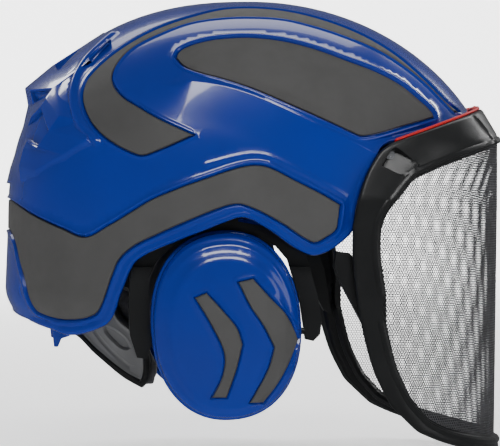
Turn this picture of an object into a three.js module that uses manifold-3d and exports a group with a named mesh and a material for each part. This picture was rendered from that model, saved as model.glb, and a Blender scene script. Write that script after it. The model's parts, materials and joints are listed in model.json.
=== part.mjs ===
// A forestry helmet: a ribbed shell with a mesh visor, two ear muffs on forked yokes,
// and a strap cradle with a turn knob at the nape.
// Millimetres, +X forward, +Y to the wearer's left, +Z up. The origin is the centre of
// the headband, where the helmet sits on the head.

import * as THREE from 'three';
import * as BufferGeometryUtils from 'three/addons/utils/BufferGeometryUtils.js';
import Module from 'manifold-3d';

const wasm = await Module();
wasm.setup();

// --- Driving dimensions -------------------------------------------------------------

const gap = 0.3; // between pieces that touch
const runningGap = 0.5; // round a pin that turns

const crownHeight = 138;
const crownX = 14; // the highest point stands a little in front of the headband's centre
const frontReach = 158;
const rearReach = 151;
const halfWidth = 112;
const widestX = -15;
const browHeight = 60; // below it the front runs almost straight down
const browLean = 0.12;
const skirtDepth = 80; // the dome's blank is this deep before its rim is cut
const shellWall = 3.5;
const inlayThickness = 1.2;
const coverThickness = 2.2;

const linerInset = 14;
const linerThickness = 8;
const linerRimHeight = 34;

const headbandX = -6;
const headbandHalfLength = 98;
const headbandHalfWidth = 80;
const headbandThickness = 2.5;
const headbandBottom = 4;
const headbandHeight = 24;
const sweatbandThickness = 4;
const strapThickness = 1.6;
const strapWidth = 18;
const strapHeight = crownHeight - 50;
const padThickness = 6;
const padHalfLength = 34;
const padHalfWidth = 22;
const padDrop = 1.5; // the straps curve down over the pad's ends

const visorBackX = 61;
const visorWall = 6.5;
const visorReach = 103.5 + visorWall; // the wall stands outside the room inside the visor
const visorHalfWidth = halfWidth - 11.5 + visorWall;
const meshThickness = 0.5;
const sealHeight = 2;
const pivotX = 88;
const pivotZ = 42;
const pivotPinRadius = 3;
const sliderThickness = 7;
const sliderLength = 56;
const sliderHeight = 13;
const sliderNose = 5.5; // ahead of the pivot
const railRear = 36;
const railFront = 72;

const hangerY = halfWidth - 12; // the muff's swing axis, on each side
const hangerZ = 9;
const hangerWidth = 30;
const hangerX = -9;
const hingePinRadius = 2;
const yokeInner = hangerY - 11;
const yokeThickness = 7.5;
const archThickness = 4; // the fork is thinner over the cup's top
const archStep = -24;

const cupX = -10;
const cupZ = -58;
const cupHalfWidth = 44;
const cupHalfHeight = 55.5;
const cupInner = hangerY - 2; // the cup's open rim, from the centre plane
const cupDepth = 24;
const cupWall = 2.6;
const cupLean = 4; // degrees, the top towards the rear
const cushionDepth = 16;
const backPlateThickness = 6.4;
const cupPinRadius = 2;
const cupPinZ = -62;

const napeHalfWidth = 62;
const napeRear = -105;
const napeCentreX = -40;
const napeThickness = 3;
const napePadThickness = 5;
const knobRadius = 17;
const knobLength = 11;
const knobZ = -36;

// --- Finishes -----------------------------------------------------------------------

function finish(color, roughness, metalness = 0) {
  return new THREE.MeshStandardMaterial({ color, roughness, metalness });
}

const blueShell = finish(0x0a49a6, 0.25);
const greyInlay = finish(0x4b4b4c, 0.75);
const blackPlastic = finish(0x17181a, 0.45);
const steelMesh = finish(0x2a2b2d, 0.5, 0.6);
const redSeal = finish(0xb3202a, 0.6);
const greyPlastic = finish(0x85878a, 0.55);
const darkLiner = finish(0x3c3d40, 0.8);
const webbing = finish(0x26272b, 0.9);
const padding = finish(0x1c1c1f, 0.95);
const foam = finish(0x3b3d42, 1);
const pinSteel = finish(0xa9adb2, 0.3, 1);

// --- Small tools --------------------------------------------------------------------

function solidOf(geometry) {
  const bare = geometry.clone();
  bare.deleteAttribute('normal');
  bare.deleteAttribute('uv');
  const merged = BufferGeometryUtils.mergeVertices(bare, 1e-3);
  const vertProperties = new Float32Array(merged.attributes.position.array);
  const triVerts = new Uint32Array(merged.index.array);
  return new wasm.Manifold(new wasm.Mesh({ numProp: 3, vertProperties, triVerts }));
}

function geometryOf(solid) {
  const mesh = solid.getMesh();
  const geometry = new THREE.BufferGeometry();
  geometry.setAttribute('position', new THREE.BufferAttribute(new Float32Array(mesh.vertProperties), 3));
  geometry.setIndex(new THREE.BufferAttribute(new Uint32Array(mesh.triVerts), 1));
  geometry.computeVertexNormals();
  return geometry;
}

function mirrored(geometry) {
  const copy = geometry.clone();
  copy.scale(1, -1, 1);
  const flipped = Array.from(copy.index.array);
  for (let i = 0; i < flipped.length; i += 3) {
    [flipped[i], flipped[i + 1]] = [flipped[i + 1], flipped[i]];
  }
  copy.setIndex(flipped);
  copy.computeVertexNormals();
  return copy;
}

function block(x0, x1, y0, y1, z0, z1) {
  const geometry = new THREE.BoxGeometry(x1 - x0, y1 - y0, z1 - z0);
  geometry.translate((x0 + x1) / 2, (y0 + y1) / 2, (z0 + z1) / 2);
  return solidOf(geometry);
}

function shapeOf(points) {
  return new THREE.Shape(points.map(([a, b]) => new THREE.Vector2(a, b)));
}

// An outline in side view, (x, z), carried across from y0 to y1.
function sideSolid(points, y0, y1) {
  const geometry = new THREE.ExtrudeGeometry(shapeOf(points), { depth: y1 - y0, bevelEnabled: false });
  geometry.rotateX(Math.PI / 2);
  geometry.translate(0, y1, 0);
  return solidOf(geometry);
}

// An outline in plan, (x, y), carried up from z0 to z1.
function planSolid(points, z0, z1, hole = null) {
  const shape = shapeOf(points);
  if (hole) shape.holes.push(shapeOf(hole));
  const geometry = new THREE.ExtrudeGeometry(shape, { depth: z1 - z0, bevelEnabled: false });
  geometry.translate(0, 0, z0);
  return solidOf(geometry);
}

function rod(axis, from, to, radius, a, b, sides = 20) {
  const geometry = new THREE.CylinderGeometry(radius, radius, to - from, sides);
  const middle = (from + to) / 2;
  if (axis === 'x') {
    geometry.rotateZ(Math.PI / 2);
    geometry.translate(middle, a, b);
  } else {
    geometry.translate(a, middle, b);
  }
  return solidOf(geometry);
}

function moved(points, distance) {
  // The outline pushed outwards by a distance, with plain mitred corners.
  const turned = THREE.ShapeUtils.isClockWise(points.map(([a, b]) => new THREE.Vector2(a, b))) ? -1 : 1;
  return points.map(([a, b], i) => {
    const [pa, pb] = points[(i + points.length - 1) % points.length];
    const [na, nb] = points[(i + 1) % points.length];
    const before = new THREE.Vector2(a - pa, b - pb).normalize();
    const after = new THREE.Vector2(na - a, nb - b).normalize();
    const outwards = new THREE.Vector2(before.y + after.y, -before.x - after.x).normalize();
    const mitre = Math.max(outwards.x * before.y - outwards.y * before.x, 0.5);
    return [a + (outwards.x * distance * turned) / mitre, b + (outwards.y * distance * turned) / mitre];
  });
}

function power(value, exponent) {
  return Math.sign(value) * Math.abs(value) ** exponent;
}

// A round-cornered oval in plan, as a list of points from angle a0 to a1.
function oval(centreX, halfX, halfY, roundness, count, a0 = 0, a1 = 2 * Math.PI) {
  const closed = a1 - a0 > 2 * Math.PI - 0.01;
  return Array.from({ length: closed ? count : count + 1 }, (_, i) => {
    const angle = a0 + ((a1 - a0) * i) / count;
    const x = centreX + halfX * power(Math.cos(angle), 2 / roundness);
    return [x, halfY * power(Math.sin(angle), 2 / roundness)];
  });
}

// A solid of revolution about +Z whose points are then moved by a rule (cos, sin, radius, height).
function shapedRound(profile, segments, rule) {
  const geometry = new THREE.LatheGeometry(profile.map(([r, h]) => new THREE.Vector2(r, h)), segments);
  geometry.rotateX(Math.PI / 2);
  const position = geometry.attributes.position;
  for (let i = 0; i < position.count; i += 1) {
    const x = position.getX(i);
    const y = position.getY(i);
    const radius = Math.hypot(x, y);
    const cos = radius > 1e-6 ? x / radius : 1;
    const sin = radius > 1e-6 ? y / radius : 0;
    const [px, py, pz] = rule(cos, sin, radius, position.getZ(i));
    position.setXYZ(i, px, py, pz);
  }
  return solidOf(geometry);
}

// --- The shell's form ---------------------------------------------------------------

const domeRoundness = 2.1;
const domeSegments = 36;
const domeRings = 10;
const rearTuckStart = -38;
const rearTuck = 0.025;
const deepestTuck = 9;

function domeSection(z, inset) {
  const v = Math.min(Math.max(z, 0) / (crownHeight - inset), 1);
  const below = Math.min(z, 0);
  let front = crownX + (frontReach - inset) * Math.sqrt(1 - v * v);
  if (z < browHeight) {
    const browX = crownX + frontReach * Math.sqrt(1 - (browHeight / crownHeight) ** 2) - inset;
    front = Math.min(front, browX - (browHeight - z) * browLean);
  }
  const tuck = Math.min(Math.max(rearTuckStart - z, 0) ** 2 * rearTuck, deepestTuck);
  const rear = crownX - (rearReach - inset) * (1 - v ** 2.35) ** (1 / 2.35) + 0.04 * below + tuck;
  const half = (halfWidth - inset) * (1 - v ** 2.3) ** (1 / 2.05) + 0.04 * below;
  const middle = widestX + (crownX - widestX) * v * v;
  return { front, rear, half, middle };
}

// How far the dome stands from the centre plane at a place in side view.
function shellSideAt(x, z, inset) {
  const { front, rear, half, middle } = domeSection(z, inset);
  const along = Math.abs(x - middle) / (x > middle ? front - middle : middle - rear);
  return half * (1 - along ** domeRoundness) ** (1 / domeRoundness);
}

function dome(inset) {
  const top = crownHeight - inset;
  const profile = [[0, -skirtDepth]];
  for (const depth of [1, 0.74, 0.62, 0.48]) profile.push([1, -skirtDepth * depth]);
  for (let i = 0; i < domeRings; i += 1) {
    const angle = (Math.PI / 2) * (i / domeRings);
    profile.push([1, top * Math.sin(angle)]);
  }
  profile.push([0, top]);
  return shapedRound(profile, domeSegments, (cos, sin, radius, z) => {
    const { front, rear, half, middle } = domeSection(z, inset);
    const reach = cos > 0 ? front - middle : middle - rear;
    const x = middle + radius * reach * power(cos, 2 / domeRoundness);
    return [x, radius * half * power(sin, 2 / domeRoundness), z];
  });
}

// A skin of the dome between two insets; a minus inset stands proud of the shell.
function domeSkin(outerInset, innerInset) {
  return dome(outerInset).subtract(dome(innerInset));
}

const far = 220; // beyond every piece

// The shell's lower edge in side view, from the rear to the front.
const rimLine = [
  [-far, -57], [-127, -57], [-113, -62], [-102, -65], [-84, -60], [-78, -56], [-71, -37.4],
  [-64.5, -22.5], [-60.8, -18.7], [-39, -8.5], [-25, -3], [-13, 1.7], [-1, 5.2], [13, -1.3],
  [32, -14], [41, -17.3], [49, -15.5], [61.5, -7.3], [66, -2], [67, 8], [72, 25], [78, 38],
  [84, 46.3], [100, 50.5], [130, 58], [157, 62], [far, 66],
];

function outerShell() {
  const kept = sideSolid([...rimLine, [far, far], [-far, far]], -far, far);
  return domeSkin(0, shellWall).intersect(kept);
}

// --- Inlays and the rear cover ------------------------------------------------------

// The lines of the inlays and the cover are drawn on a dome of these sizes, and follow the
// shell's own.
const drawnCrown = 138;
const drawnFront = 158;
const drawnRear = 151;

function fittedToDome(line) {
  return line.map(([x, z]) => {
    const share = x > crownX ? frontReach / drawnFront : rearReach / drawnRear;
    return [crownX + (x - crownX) * share, z > 0 ? (z * crownHeight) / drawnCrown : z];
  });
}

const sideInlayLine = [
  [-far, 15], [-135, 14.7], [-117, 3.7], [-105, -1.6], [-92, -6.2], [-80, -0.1], [-65, 9.2],
  [-55, 15.3], [-40, 21.8], [-20, 29], [-4, 34.2], [5, 35.8], [13, 35], [30, 27], [48, 18],
  [57.5, 12.5], [56.5, 4], [55, -2.4], [50, -6.2], [41.5, -9.9], [37, -8.2], [21.6, 1.7],
  [4, 10.7], [-3, 12.8], [-8, 12.4], [-17, 9.5], [-34, 2.6], [-51, -5], [-65, -12.3],
  [-72.6, -19.7], [-76.3, -28.3], [-84, -49.5], [-86, -52], [-104.6, -56.3], [-117, -53.6],
  [-120, -52], [-127, -35], [-130, -24], [-133.5, -9], [-136, -4], [-far, -4],
];

const crescentInlayLine = [
  [138, 69], [116.5, 88], [97, 104.6], [78, 115.7], [49, 126.4], [30, 130.5], [10, 132],
  [-6, 131], [-26, 126], [-46, 119], [-60, 112], [-75, 102], [-84.5, 93.6], [-90, 87],
  [-93, 78], [-92, 69.4], [-87, 59], [-78, 50], [-63, 42], [-59, 41.2], [-49, 44.5],
  [-29, 53.3], [-49, 63], [-60.5, 70], [-70, 76.6], [-75, 84.5], [-75, 90.4], [-71, 98],
  [-63, 106], [-46, 115], [-27, 122], [-7, 125], [9, 125.6], [28, 124.7], [47, 120.4],
  [67, 114], [86.5, 106], [101, 97.5], [116, 86], [126, 76.3],
];

const frontInlayLine = [
  [-38, 99.6], [-36, 103.5], [-30, 107], [-18.6, 110.4], [-4, 112.2], [7, 112.5], [26, 110.6],
  [45, 106], [64, 99.3], [84, 92], [99, 84.4], [109, 76.7], [119, 67.2], [119.6, 64.8],
  [102, 60], [76, 53.2], [70, 52.7], [65, 54.6], [51.5, 60.6], [28, 70.8], [4.6, 80.7],
  [-11, 86], [-25, 90.2], [-34, 94.6],
];

const centreClearance = 2; // the two side inlays stop short of the centre plane at the rear

function inlay(line) {
  const skin = domeSkin(-gap - inlayThickness, -gap);
  return skin.intersect(sideSolid(fittedToDome(line), -far, -centreClearance));
}

// The rear cover follows the shell and rises into a hood over the rear vent.
const coverLine = [
  [-80, 118], [-92, 109.5], [-110, 97], [-125, 84.5], [-124.5, 70], [-128.5, 52], [-135, 30],
  [-138, 25], [-122, 27], [-104, 38.3], [-97, 47], [-103, 60], [-104, 74], [-101, 86], [-90, 99],
  [-78, 110],
];
const hoodHeight = 11;
const hoodHalfWidth = 42;
const hoodTaper = 14;
const hoodBottom = 60;
const hoodTop = crownHeight - 26;

function rearVentCover() {
  const skin = domeSkin(-gap - coverThickness, -gap);
  const hoodPlan = [
    [-140, -hoodHalfWidth + hoodTaper], [-140, hoodHalfWidth - hoodTaper],
    [-100, hoodHalfWidth], [-70, hoodHalfWidth], [-70, -hoodHalfWidth], [-100, -hoodHalfWidth],
  ];
  const hood = domeSkin(-hoodHeight, -gap).intersect(planSolid(hoodPlan, hoodBottom, hoodTop));
  return skin.add(hood).intersect(sideSolid(fittedToDome(coverLine), -far, far));
}

// --- Inside the shell ---------------------------------------------------------------

function innerLiner() {
  const line = [
    [-far, -14], [-95, -14], [-78, 8], [-66, linerRimHeight], [28, linerRimHeight], [34, 56],
    [far, 60], [far, far], [-far, far],
  ];
  const skin = domeSkin(linerInset, linerInset + linerThickness);
  return skin.intersect(sideSolid(line, -far, far));
}

function headbandRing(inset, thickness) {
  const half = [headbandHalfLength - inset, headbandHalfWidth - inset];
  const outside = oval(headbandX, half[0], half[1], 2.2, 36);
  const inside = oval(headbandX, half[0] - thickness, half[1] - thickness, 2.2, 36);
  return [outside, inside];
}

function headband() {
  const [outside, inside] = headbandRing(0, headbandThickness);
  return planSolid(outside, headbandBottom, headbandBottom + headbandHeight, inside);
}

function sweatband() {
  const [outside, inside] = headbandRing(headbandThickness + gap, sweatbandThickness);
  const ring = planSolid(outside, headbandBottom + 1, headbandBottom + headbandHeight - 1, inside);
  return ring.intersect(block(10, far, -far, far, -far, far));
}

// An arch of flat webbing from one side of the headband to the other.
function strapArch(halfSpan, height, foot) {
  const steps = 22;
  const outline = [];
  for (let i = 0; i <= steps; i += 1) {
    const angle = (Math.PI * i) / steps;
    outline.push([halfSpan * power(Math.cos(angle), 0.8), foot + (height - foot) * Math.sin(angle) ** 0.8]);
  }
  for (let i = steps; i >= 0; i -= 1) {
    const angle = (Math.PI * i) / steps;
    const inside = [halfSpan - strapThickness, height - strapThickness];
    outline.push([inside[0] * power(Math.cos(angle), 0.8), foot + (inside[1] - foot) * Math.sin(angle) ** 0.8]);
  }
  return outline;
}

const strapFoot = headbandBottom + headbandHeight + gap;

function crownStrapLong() {
  const outline = strapArch(headbandHalfLength - 1, strapHeight, strapFoot);
  return sideSolid(outline.map(([a, b]) => [a + headbandX, b]), -strapWidth / 2, strapWidth / 2);
}

function crownStrapCross() {
  const outline = strapArch(headbandHalfWidth - 1, strapHeight - strapThickness - gap, strapFoot);
  const across = shapeOf(outline);
  const geometry = new THREE.ExtrudeGeometry(across, { depth: strapWidth, bevelEnabled: false });
  geometry.rotateX(Math.PI / 2);
  geometry.rotateZ(Math.PI / 2);
  geometry.translate(headbandX - strapWidth / 2, 0, 0);
  return solidOf(geometry);
}

function crownPad() {
  const top = strapHeight - 2 * strapThickness - 2 * gap - padDrop;
  return planSolid(oval(headbandX, padHalfLength, padHalfWidth, 2.6, 28), top - padThickness, top);
}

// A clip stands on the headband's outside and carries the end of one strap.
const clipWidth = 26;
const clipThickness = 4;
const clipHeight = 26;
const clipZ = 12;

function clipAt(angle) {
  const alongX = Math.abs(Math.cos(angle)) > 0.5;
  const reach = (alongX ? headbandHalfLength : headbandHalfWidth) + gap;
  const bar = block(reach, reach + clipThickness, -clipWidth / 2, clipWidth / 2, clipZ, clipZ + clipHeight);
  const turned = bar.rotate([0, 0, (angle * 180) / Math.PI]);
  return turned.translate([headbandX, 0, 0]);
}

// --- Visor --------------------------------------------------------------------------

const browTurnZ = 50; // above it the brow band slopes back
const browSlope = 0.6;
const frontLean = 0.013;
const shoulderLow = 15; // between these heights the sides draw in by shoulderDraw
const shoulderHigh = 45;
const shoulderDraw = 8;
const browDraw = 0.36; // and above them by this much for each millimetre

function visorPlan(z, inset) {
  const above = Math.max(z - browTurnZ, 0);
  const below = Math.max(browTurnZ - z, 0);
  const reach = visorReach - browSlope * above - frontLean * below - inset;
  const shoulder = Math.min(Math.max(z - shoulderLow, 0) / (shoulderHigh - shoulderLow), 1);
  const narrowing = shoulder * shoulderDraw + Math.max(z - shoulderHigh, 0) * browDraw;
  return { reach, half: visorHalfWidth - narrowing - inset };
}

function visorBlank(inset) {
  const heights = [-150, -60, shoulderLow, shoulderHigh, browTurnZ, 62, 78];
  const profile = [[0, heights[0]], ...heights.map((z) => [1, z]), [0, heights.at(-1)]];
  return shapedRound(profile, 48, (cos, sin, radius, z) => {
    const { reach, half } = visorPlan(z, inset);
    return [visorBackX + radius * reach * power(cos, 2 / 2.2), radius * half * power(sin, 2 / 2.2), z];
  });
}

function visorSkin(outerInset, innerInset) {
  return visorBlank(outerInset).subtract(visorBlank(innerInset));
}

const visorTopLine = [[66, 10], [68.5, 20], [74, 33], [81.5, 44.5], [88, 49], [154, 71], [far, 93]];
const visorLowerLine = [
  [far, -147], [152, -138], [118, -128], [104, -122], [87, -106], [77, -86], [69, -57], [64, -21],
  [64, 0],
];
const windowLine = [
  [82, -1], [85, 6], [95, 19], [103, 28], [121, 35], [158, 46], [far, 60], [far, -139],
  [150, -127], [124, -120], [112, -114], [101, -102], [92, -84], [85, -57], [81, -21],
];

function pivotBore(radius) {
  return rod('y', -far, far, radius, pivotX, pivotZ);
}

function visorFrame() {
  const outline = sideSolid([...visorTopLine, ...visorLowerLine], -far, far);
  const window = sideSolid(windowLine, -far, far);
  const bore = pivotBore(pivotPinRadius + gap).intersect(visorBlank(visorWall / 2));
  return visorSkin(0, visorWall).intersect(outline.subtract(window)).subtract(bore);
}

function visorMesh() {
  const sheet = sideSolid(moved(windowLine, -gap), -far, far);
  const inset = (visorWall - meshThickness) / 2;
  const front = block(visorBackX, far, -far, far, -far, far);
  return visorSkin(inset, inset + meshThickness).intersect(sheet).intersect(front);
}

function browSeal() {
  const low = visorTopLine.slice(-3).map(([x, z]) => [x, z + gap]);
  const high = low.map(([x, z]) => [x, z + sealHeight]).reverse();
  return visorSkin(1.5, visorWall - 1).intersect(sideSolid([...low, ...high], -far, far));
}

const guideArmReach = 16; // inwards from the frame's widest line

function guideArm() {
  const plate = [
    [55, -15], [63, -16], [68, -22], [72, -32], [77, -62], [72, -60], [58, -34], [54, -24],
  ];
  return sideSolid(plate, -far, guideArmReach - visorHalfWidth).intersect(visorBlank(visorWall + gap));
}

function pivotPin() {
  return pivotBore(pivotPinRadius)
    .intersect(block(0, far, -far, -sliderInner - 1, 0, far))
    .intersect(visorBlank(visorWall / 2 + gap));
}

// The slider lies inside the shell, level with the corner of the rim above the pivot.
const rimCorner = 3.5; // behind the pivot
const sliderClearance = 2.6;
const sliderTop = pivotZ + sliderHeight / 2 - 1;
const sliderOuter = shellSideAt(pivotX - rimCorner, sliderTop, shellWall) - sliderClearance;
const sliderInner = sliderOuter - sliderThickness;

function visorSlider() {
  const front = pivotX + sliderNose;
  const low = pivotZ - sliderHeight / 2;
  const bar = block(front - sliderLength, front, -sliderOuter, -sliderInner, low, sliderTop);
  return bar.subtract(pivotBore(pivotPinRadius + runningGap));
}

function visorRail() {
  const seat = -sliderOuter - gap;
  const low = pivotZ - sliderHeight / 2;
  const rail = block(railRear, railFront, -far, seat, low, low + sliderHeight);
  return rail.intersect(dome(shellWall + gap));
}

// --- Ear muffs, built on the right and mirrored -----------------------------------

const bracketLug = 5;
const bracketTop = 30;

function muffBracket() {
  const half = hangerWidth / 2 + gap;
  const low = hangerZ - 5;
  const plate = block(
    hangerX - half - bracketLug, hangerX + half + bracketLug, -far, -hangerY - 5, low, bracketTop);
  const room = block(
    hangerX - half, hangerX + half, -far, -hangerY - 4, low - 1, hangerZ + 8);
  const lugs = [-1, 1].map((side) => {
    const inner = hangerX + side * half;
    const outer = inner + side * bracketLug;
    return block(Math.min(inner, outer), Math.max(inner, outer), -hangerY - 6, -hangerY + 4, low, hangerZ + 5);
  });
  const body = plate.add(lugs[0]).add(lugs[1]).subtract(room);
  const bore = rod('x', -far, far, hingePinRadius + gap, -hangerY, hangerZ, 16);
  return body.subtract(bore).intersect(dome(shellWall + gap));
}

function hingePin() {
  const reach = hangerWidth / 2 + gap + bracketLug;
  return rod('x', hangerX - reach, hangerX + reach, hingePinRadius, -hangerY, hangerZ, 16);
}

const stemWidth = 14;
const stemThickness = 4;
const stemTop = 31;

function muffHanger() {
  const half = hangerWidth / 2;
  const knuckle = block(hangerX - half, hangerX + half, -hangerY - 3.5, -yokeInner + 2,
    hangerZ - 4, hangerZ + 4);
  const slot = block(
    hangerX - stemWidth / 2 - gap, hangerX + stemWidth / 2 + gap,
    -yokeInner - stemThickness - gap, -yokeInner + gap, -far, far);
  const bore = rod('x', -far, far, hingePinRadius + runningGap, -hangerY, hangerZ, 16);
  return knuckle.subtract(slot).subtract(bore);
}

const archOuter = [
  [-66, -30], [-64, -22], [-57, -12], [-46, -5], [-31, 0.5], [-16, 2.6], [-2, 2.6], [12, 0],
  [24, -5], [33, -11], [38, -17],
];
const archInner = [
  [27, -20], [20, -12], [10, -6.5], [-2, -4], [-16, -4], [-28, -6], [-42, -13], [-50, -20], [-55, -30],
];
const frontLeg = [ [44.5, -41.5], [47, -56], [46, -64], [42, -68], [37.5, -67], [34.5, -46]];
const rearLeg = [[-55, -50], [-53, -68], [-56, -78], [-62, -77], [-66, -64], [-67, -44]];

function muffYoke() {
  const outline = [...archOuter, ...frontLeg, ...archInner, ...rearLeg];
  const fork = sideSolid(outline, -yokeInner - yokeThickness, -yokeInner);
  const thinning = block(-far, far, -far, -yokeInner - archThickness, archStep, far);
  const stem = block(
    hangerX - stemWidth / 2, hangerX + stemWidth / 2, -yokeInner - stemThickness, -yokeInner, -1, stemTop);
  const pinY = -cupInner + backPlateThickness / 2 + gap;
  const frontPin = rod('x', 27, 40, cupPinRadius, pinY, cupPinZ);
  const rearPin = rod('x', -58, -45, cupPinRadius, pinY, cupPinZ);
  return fork.subtract(thinning).add(stem).add(frontPin).add(rearPin);
}

// A round-cornered body about the cup's axis; each row is (size, distance from the centre plane).
function cupForm(rows, inset = 0) {
  const profile = [[0, rows[0][1]], ...rows, [0, rows.at(-1)[1]]];
  const lean = (cupLean * Math.PI) / 180;
  return shapedRound(profile, 28, (cos, sin, radius, outwards) => {
    const a = radius * (cupHalfWidth - inset) * power(cos, 2 / 2.2);
    const b = radius * (cupHalfHeight - inset) * power(sin, 2 / 2.2);
    return [
      cupX + a * Math.cos(lean) - b * Math.sin(lean),
      -outwards,
      cupZ + a * Math.sin(lean) + b * Math.cos(lean),
    ];
  });
}

const cupOuter = cupInner + cupDepth;
const cupRows = [
  [0.97, cupInner], [1, cupInner + 2], [1, cupInner + 6], [0.96, cupInner + 12],
  [0.86, cupInner + 18], [0.68, cupOuter - 2.6], [0.42, cupOuter - 0.6],
];

function cupBlank() {
  return cupForm(cupRows);
}

function cupHollow() {
  const rows = cupRows.map(([size, outwards]) => [size, outwards - cupWall]);
  rows[0][1] = cupInner - 1;
  rows[1][1] = cupInner + 0.5;
  return cupForm(rows, cupWall);
}

const frontChevronLine = [
  [-5, -32], [4, -30], [14, -41], [26, -54], [32, -66], [24, -84], [11, -103], [2, -102], [13, -81],
  [16, -70], [10, -58], [2, -46],
];
const rearChevronLine = [
  [-30, -41], [-23, -38], [-12, -50], [-5, -59], [-2, -68], [-5, -81], [-11, -99], [-20, -99],
  [-14, -86], [-13, -74], [-20, -58],
];
const chevronDepth = 1.6;

function chevronBand(line) {
  return sideSolid(line, -far, -cupInner - 8);
}

function cupShell() {
  const recessed = cupForm(cupRows.map(([size, outwards]) => [size, outwards - chevronDepth]));
  const cutter = cupForm(cupRows.map(([size, outwards]) => [size, outwards + 1])).subtract(recessed);
  const cuts = [frontChevronLine, rearChevronLine].map((line) => chevronBand(line).intersect(cutter));
  return cupBlank().subtract(cupHollow()).subtract(cuts[0]).subtract(cuts[1]);
}

function chevron(line) {
  const floor = cupForm(cupRows.map(([size, outwards]) => [size, outwards - chevronDepth + gap]));
  return cupBlank().subtract(floor).intersect(chevronBand(moved(line, -gap)));
}

function backPlate() {
  const outer = cupInner - gap;
  const inner = outer - backPlateThickness;
  const plate = cupForm([[0.86, inner], [0.86, outer]]);
  const mouth = cupForm([[0.52, inner - 1], [0.52, outer + 1]]);
  const bore = rod('x', -far, far, cupPinRadius + runningGap, -cupInner + backPlateThickness / 2 + gap, cupPinZ);
  return plate.subtract(mouth).subtract(bore.subtract(block(-38, 20, -far, far, -far, far)));
}

function cupCushion() {
  const outer = cupInner - 2 * gap - backPlateThickness;
  const inner = outer - cushionDepth;
  const pad = cupForm([[0.8, inner], [0.88, inner + 3], [0.9, outer - 3], [0.86, outer]]);
  return pad.subtract(cupForm([[0.5, inner - 1], [0.5, outer + 1]]));
}

function foamInsert() {
  return cupForm([[0.72, cupInner + 6], [0.74, cupInner + 13]]);
}

// --- Nape cradle --------------------------------------------------------------------

function napeTube(inset, thickness) {
  const reach = napeCentreX - napeRear;
  const outside = oval(napeCentreX, reach - inset, napeHalfWidth - inset, 2.4, 32);
  const inside = oval(napeCentreX, reach - inset - thickness, napeHalfWidth - inset - thickness, 2.4, 32);
  return planSolid(outside, -far, far, inside);
}

const napeLine = [
  [-far, -66], [-97, -67], [-85, -78], [-68, -92], [-57, -98], [-53, -93], [-53, -75], [-60, -62],
  [-70, -52], [-72, -30], [-66, 2], [-82, 2], [-88, -20], [-94, -24], [-far, -24],
];
const napePadLine = [
  [-far, -62], [-95, -64], [-84, -76], [-68, -91], [-57, -97], [-49, -97], [-46, -86], [-52, -72],
  [-58, -60], [-57, -43], [-66, -38], [-76, -32], [-far, -32],
];

function napeCradle() {
  return napeTube(0, napeThickness).intersect(sideSolid(napeLine, -far, far));
}

function napePad() {
  return napeTube(napeThickness + gap, napePadThickness).intersect(sideSolid(napePadLine, -far, far));
}

const housingDepth = 8;

function knobHousing() {
  const half = [napeRear - gap - housingDepth, napeRear - gap];
  const body = block(half[0], half[1], -26, 26, knobZ - 14, knobZ + 12);
  const bore = rod('x', -far, half[0] + 4, 6 + gap, 0, knobZ, 24);
  return body.subtract(bore);
}

function sizeKnob() {
  const front = napeRear - housingDepth - 2 * gap;
  const disc = rod('x', front - knobLength, front, knobRadius, 0, knobZ, 32);
  const stub = rod('x', front - 1, front + 3, 6, 0, knobZ, 24);
  let knob = disc.add(stub);
  const notches = 8;
  for (let i = 0; i < notches; i += 1) {
    const angle = (2 * Math.PI * i) / notches;
    const y = (knobRadius + 1.5) * Math.cos(angle);
    const z = knobZ + (knobRadius + 1.5) * Math.sin(angle);
    knob = knob.subtract(rod('x', front - knobLength - 1, front - 3, 4, y, z, 12));
  }
  return knob;
}

// Two small hooks under the rear rim hold a lamp strap or the parked muffs.
const hookInner = 42;
const hookWidth = 8;

function rearHook() {
  const prong = [[-112, -50], [-100, -50], [-100, -67], [-105, -68.5], [-107, -73.5], [-109.5, -73.5]];
  const foot = block(-112, -100, -far, -hookInner, -62, -50).intersect(dome(shellWall + 2 * gap));
  return sideSolid(prong, -hookInner - hookWidth, -hookInner).add(foot);
}

// --- Assembly -----------------------------------------------------------------------

const helmet = new THREE.Group();
helmet.name = 'forestry_helmet';

function add(name, solid, material) {
  const mesh = new THREE.Mesh(geometryOf(solid), material);
  mesh.name = name;
  helmet.add(mesh);
}

function addPair(name, solid, material) {
  const right = geometryOf(solid);
  for (const [side, geometry] of [['right', right], ['left', mirrored(right)]]) {
    const mesh = new THREE.Mesh(geometry, material);
    mesh.name = `${name}_${side}`;
    helmet.add(mesh);
  }
}

add('outer_shell', outerShell(), blueShell);
add('rear_vent_cover', rearVentCover(), blueShell);
addPair('side_inlay', inlay(sideInlayLine), greyInlay);
addPair('crescent_inlay', inlay(crescentInlayLine), greyInlay);
addPair('front_inlay', inlay(frontInlayLine), greyInlay);
addPair('rear_hook', rearHook(), blackPlastic);

add('inner_liner', innerLiner(), darkLiner);
add('headband', headband(), blackPlastic);
add('sweatband', sweatband(), padding);
add('crown_strap_long', crownStrapLong(), webbing);
add('crown_strap_cross', crownStrapCross(), webbing);
add('crown_pad', crownPad(), padding);
['front', 'left', 'rear', 'right'].forEach((side, i) => {
  add(`strap_clip_${side}`, clipAt((Math.PI / 2) * i), blackPlastic);
});

addPair('visor_rail', visorRail(), blackPlastic);
addPair('visor_slider', visorSlider(), blackPlastic);
add('visor_frame', visorFrame(), blackPlastic);
add('visor_mesh', visorMesh(), steelMesh);
add('brow_seal', browSeal(), redSeal);
addPair('visor_guide_arm', guideArm(), blackPlastic);
addPair('visor_pivot_pin', pivotPin(), pinSteel);

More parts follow.
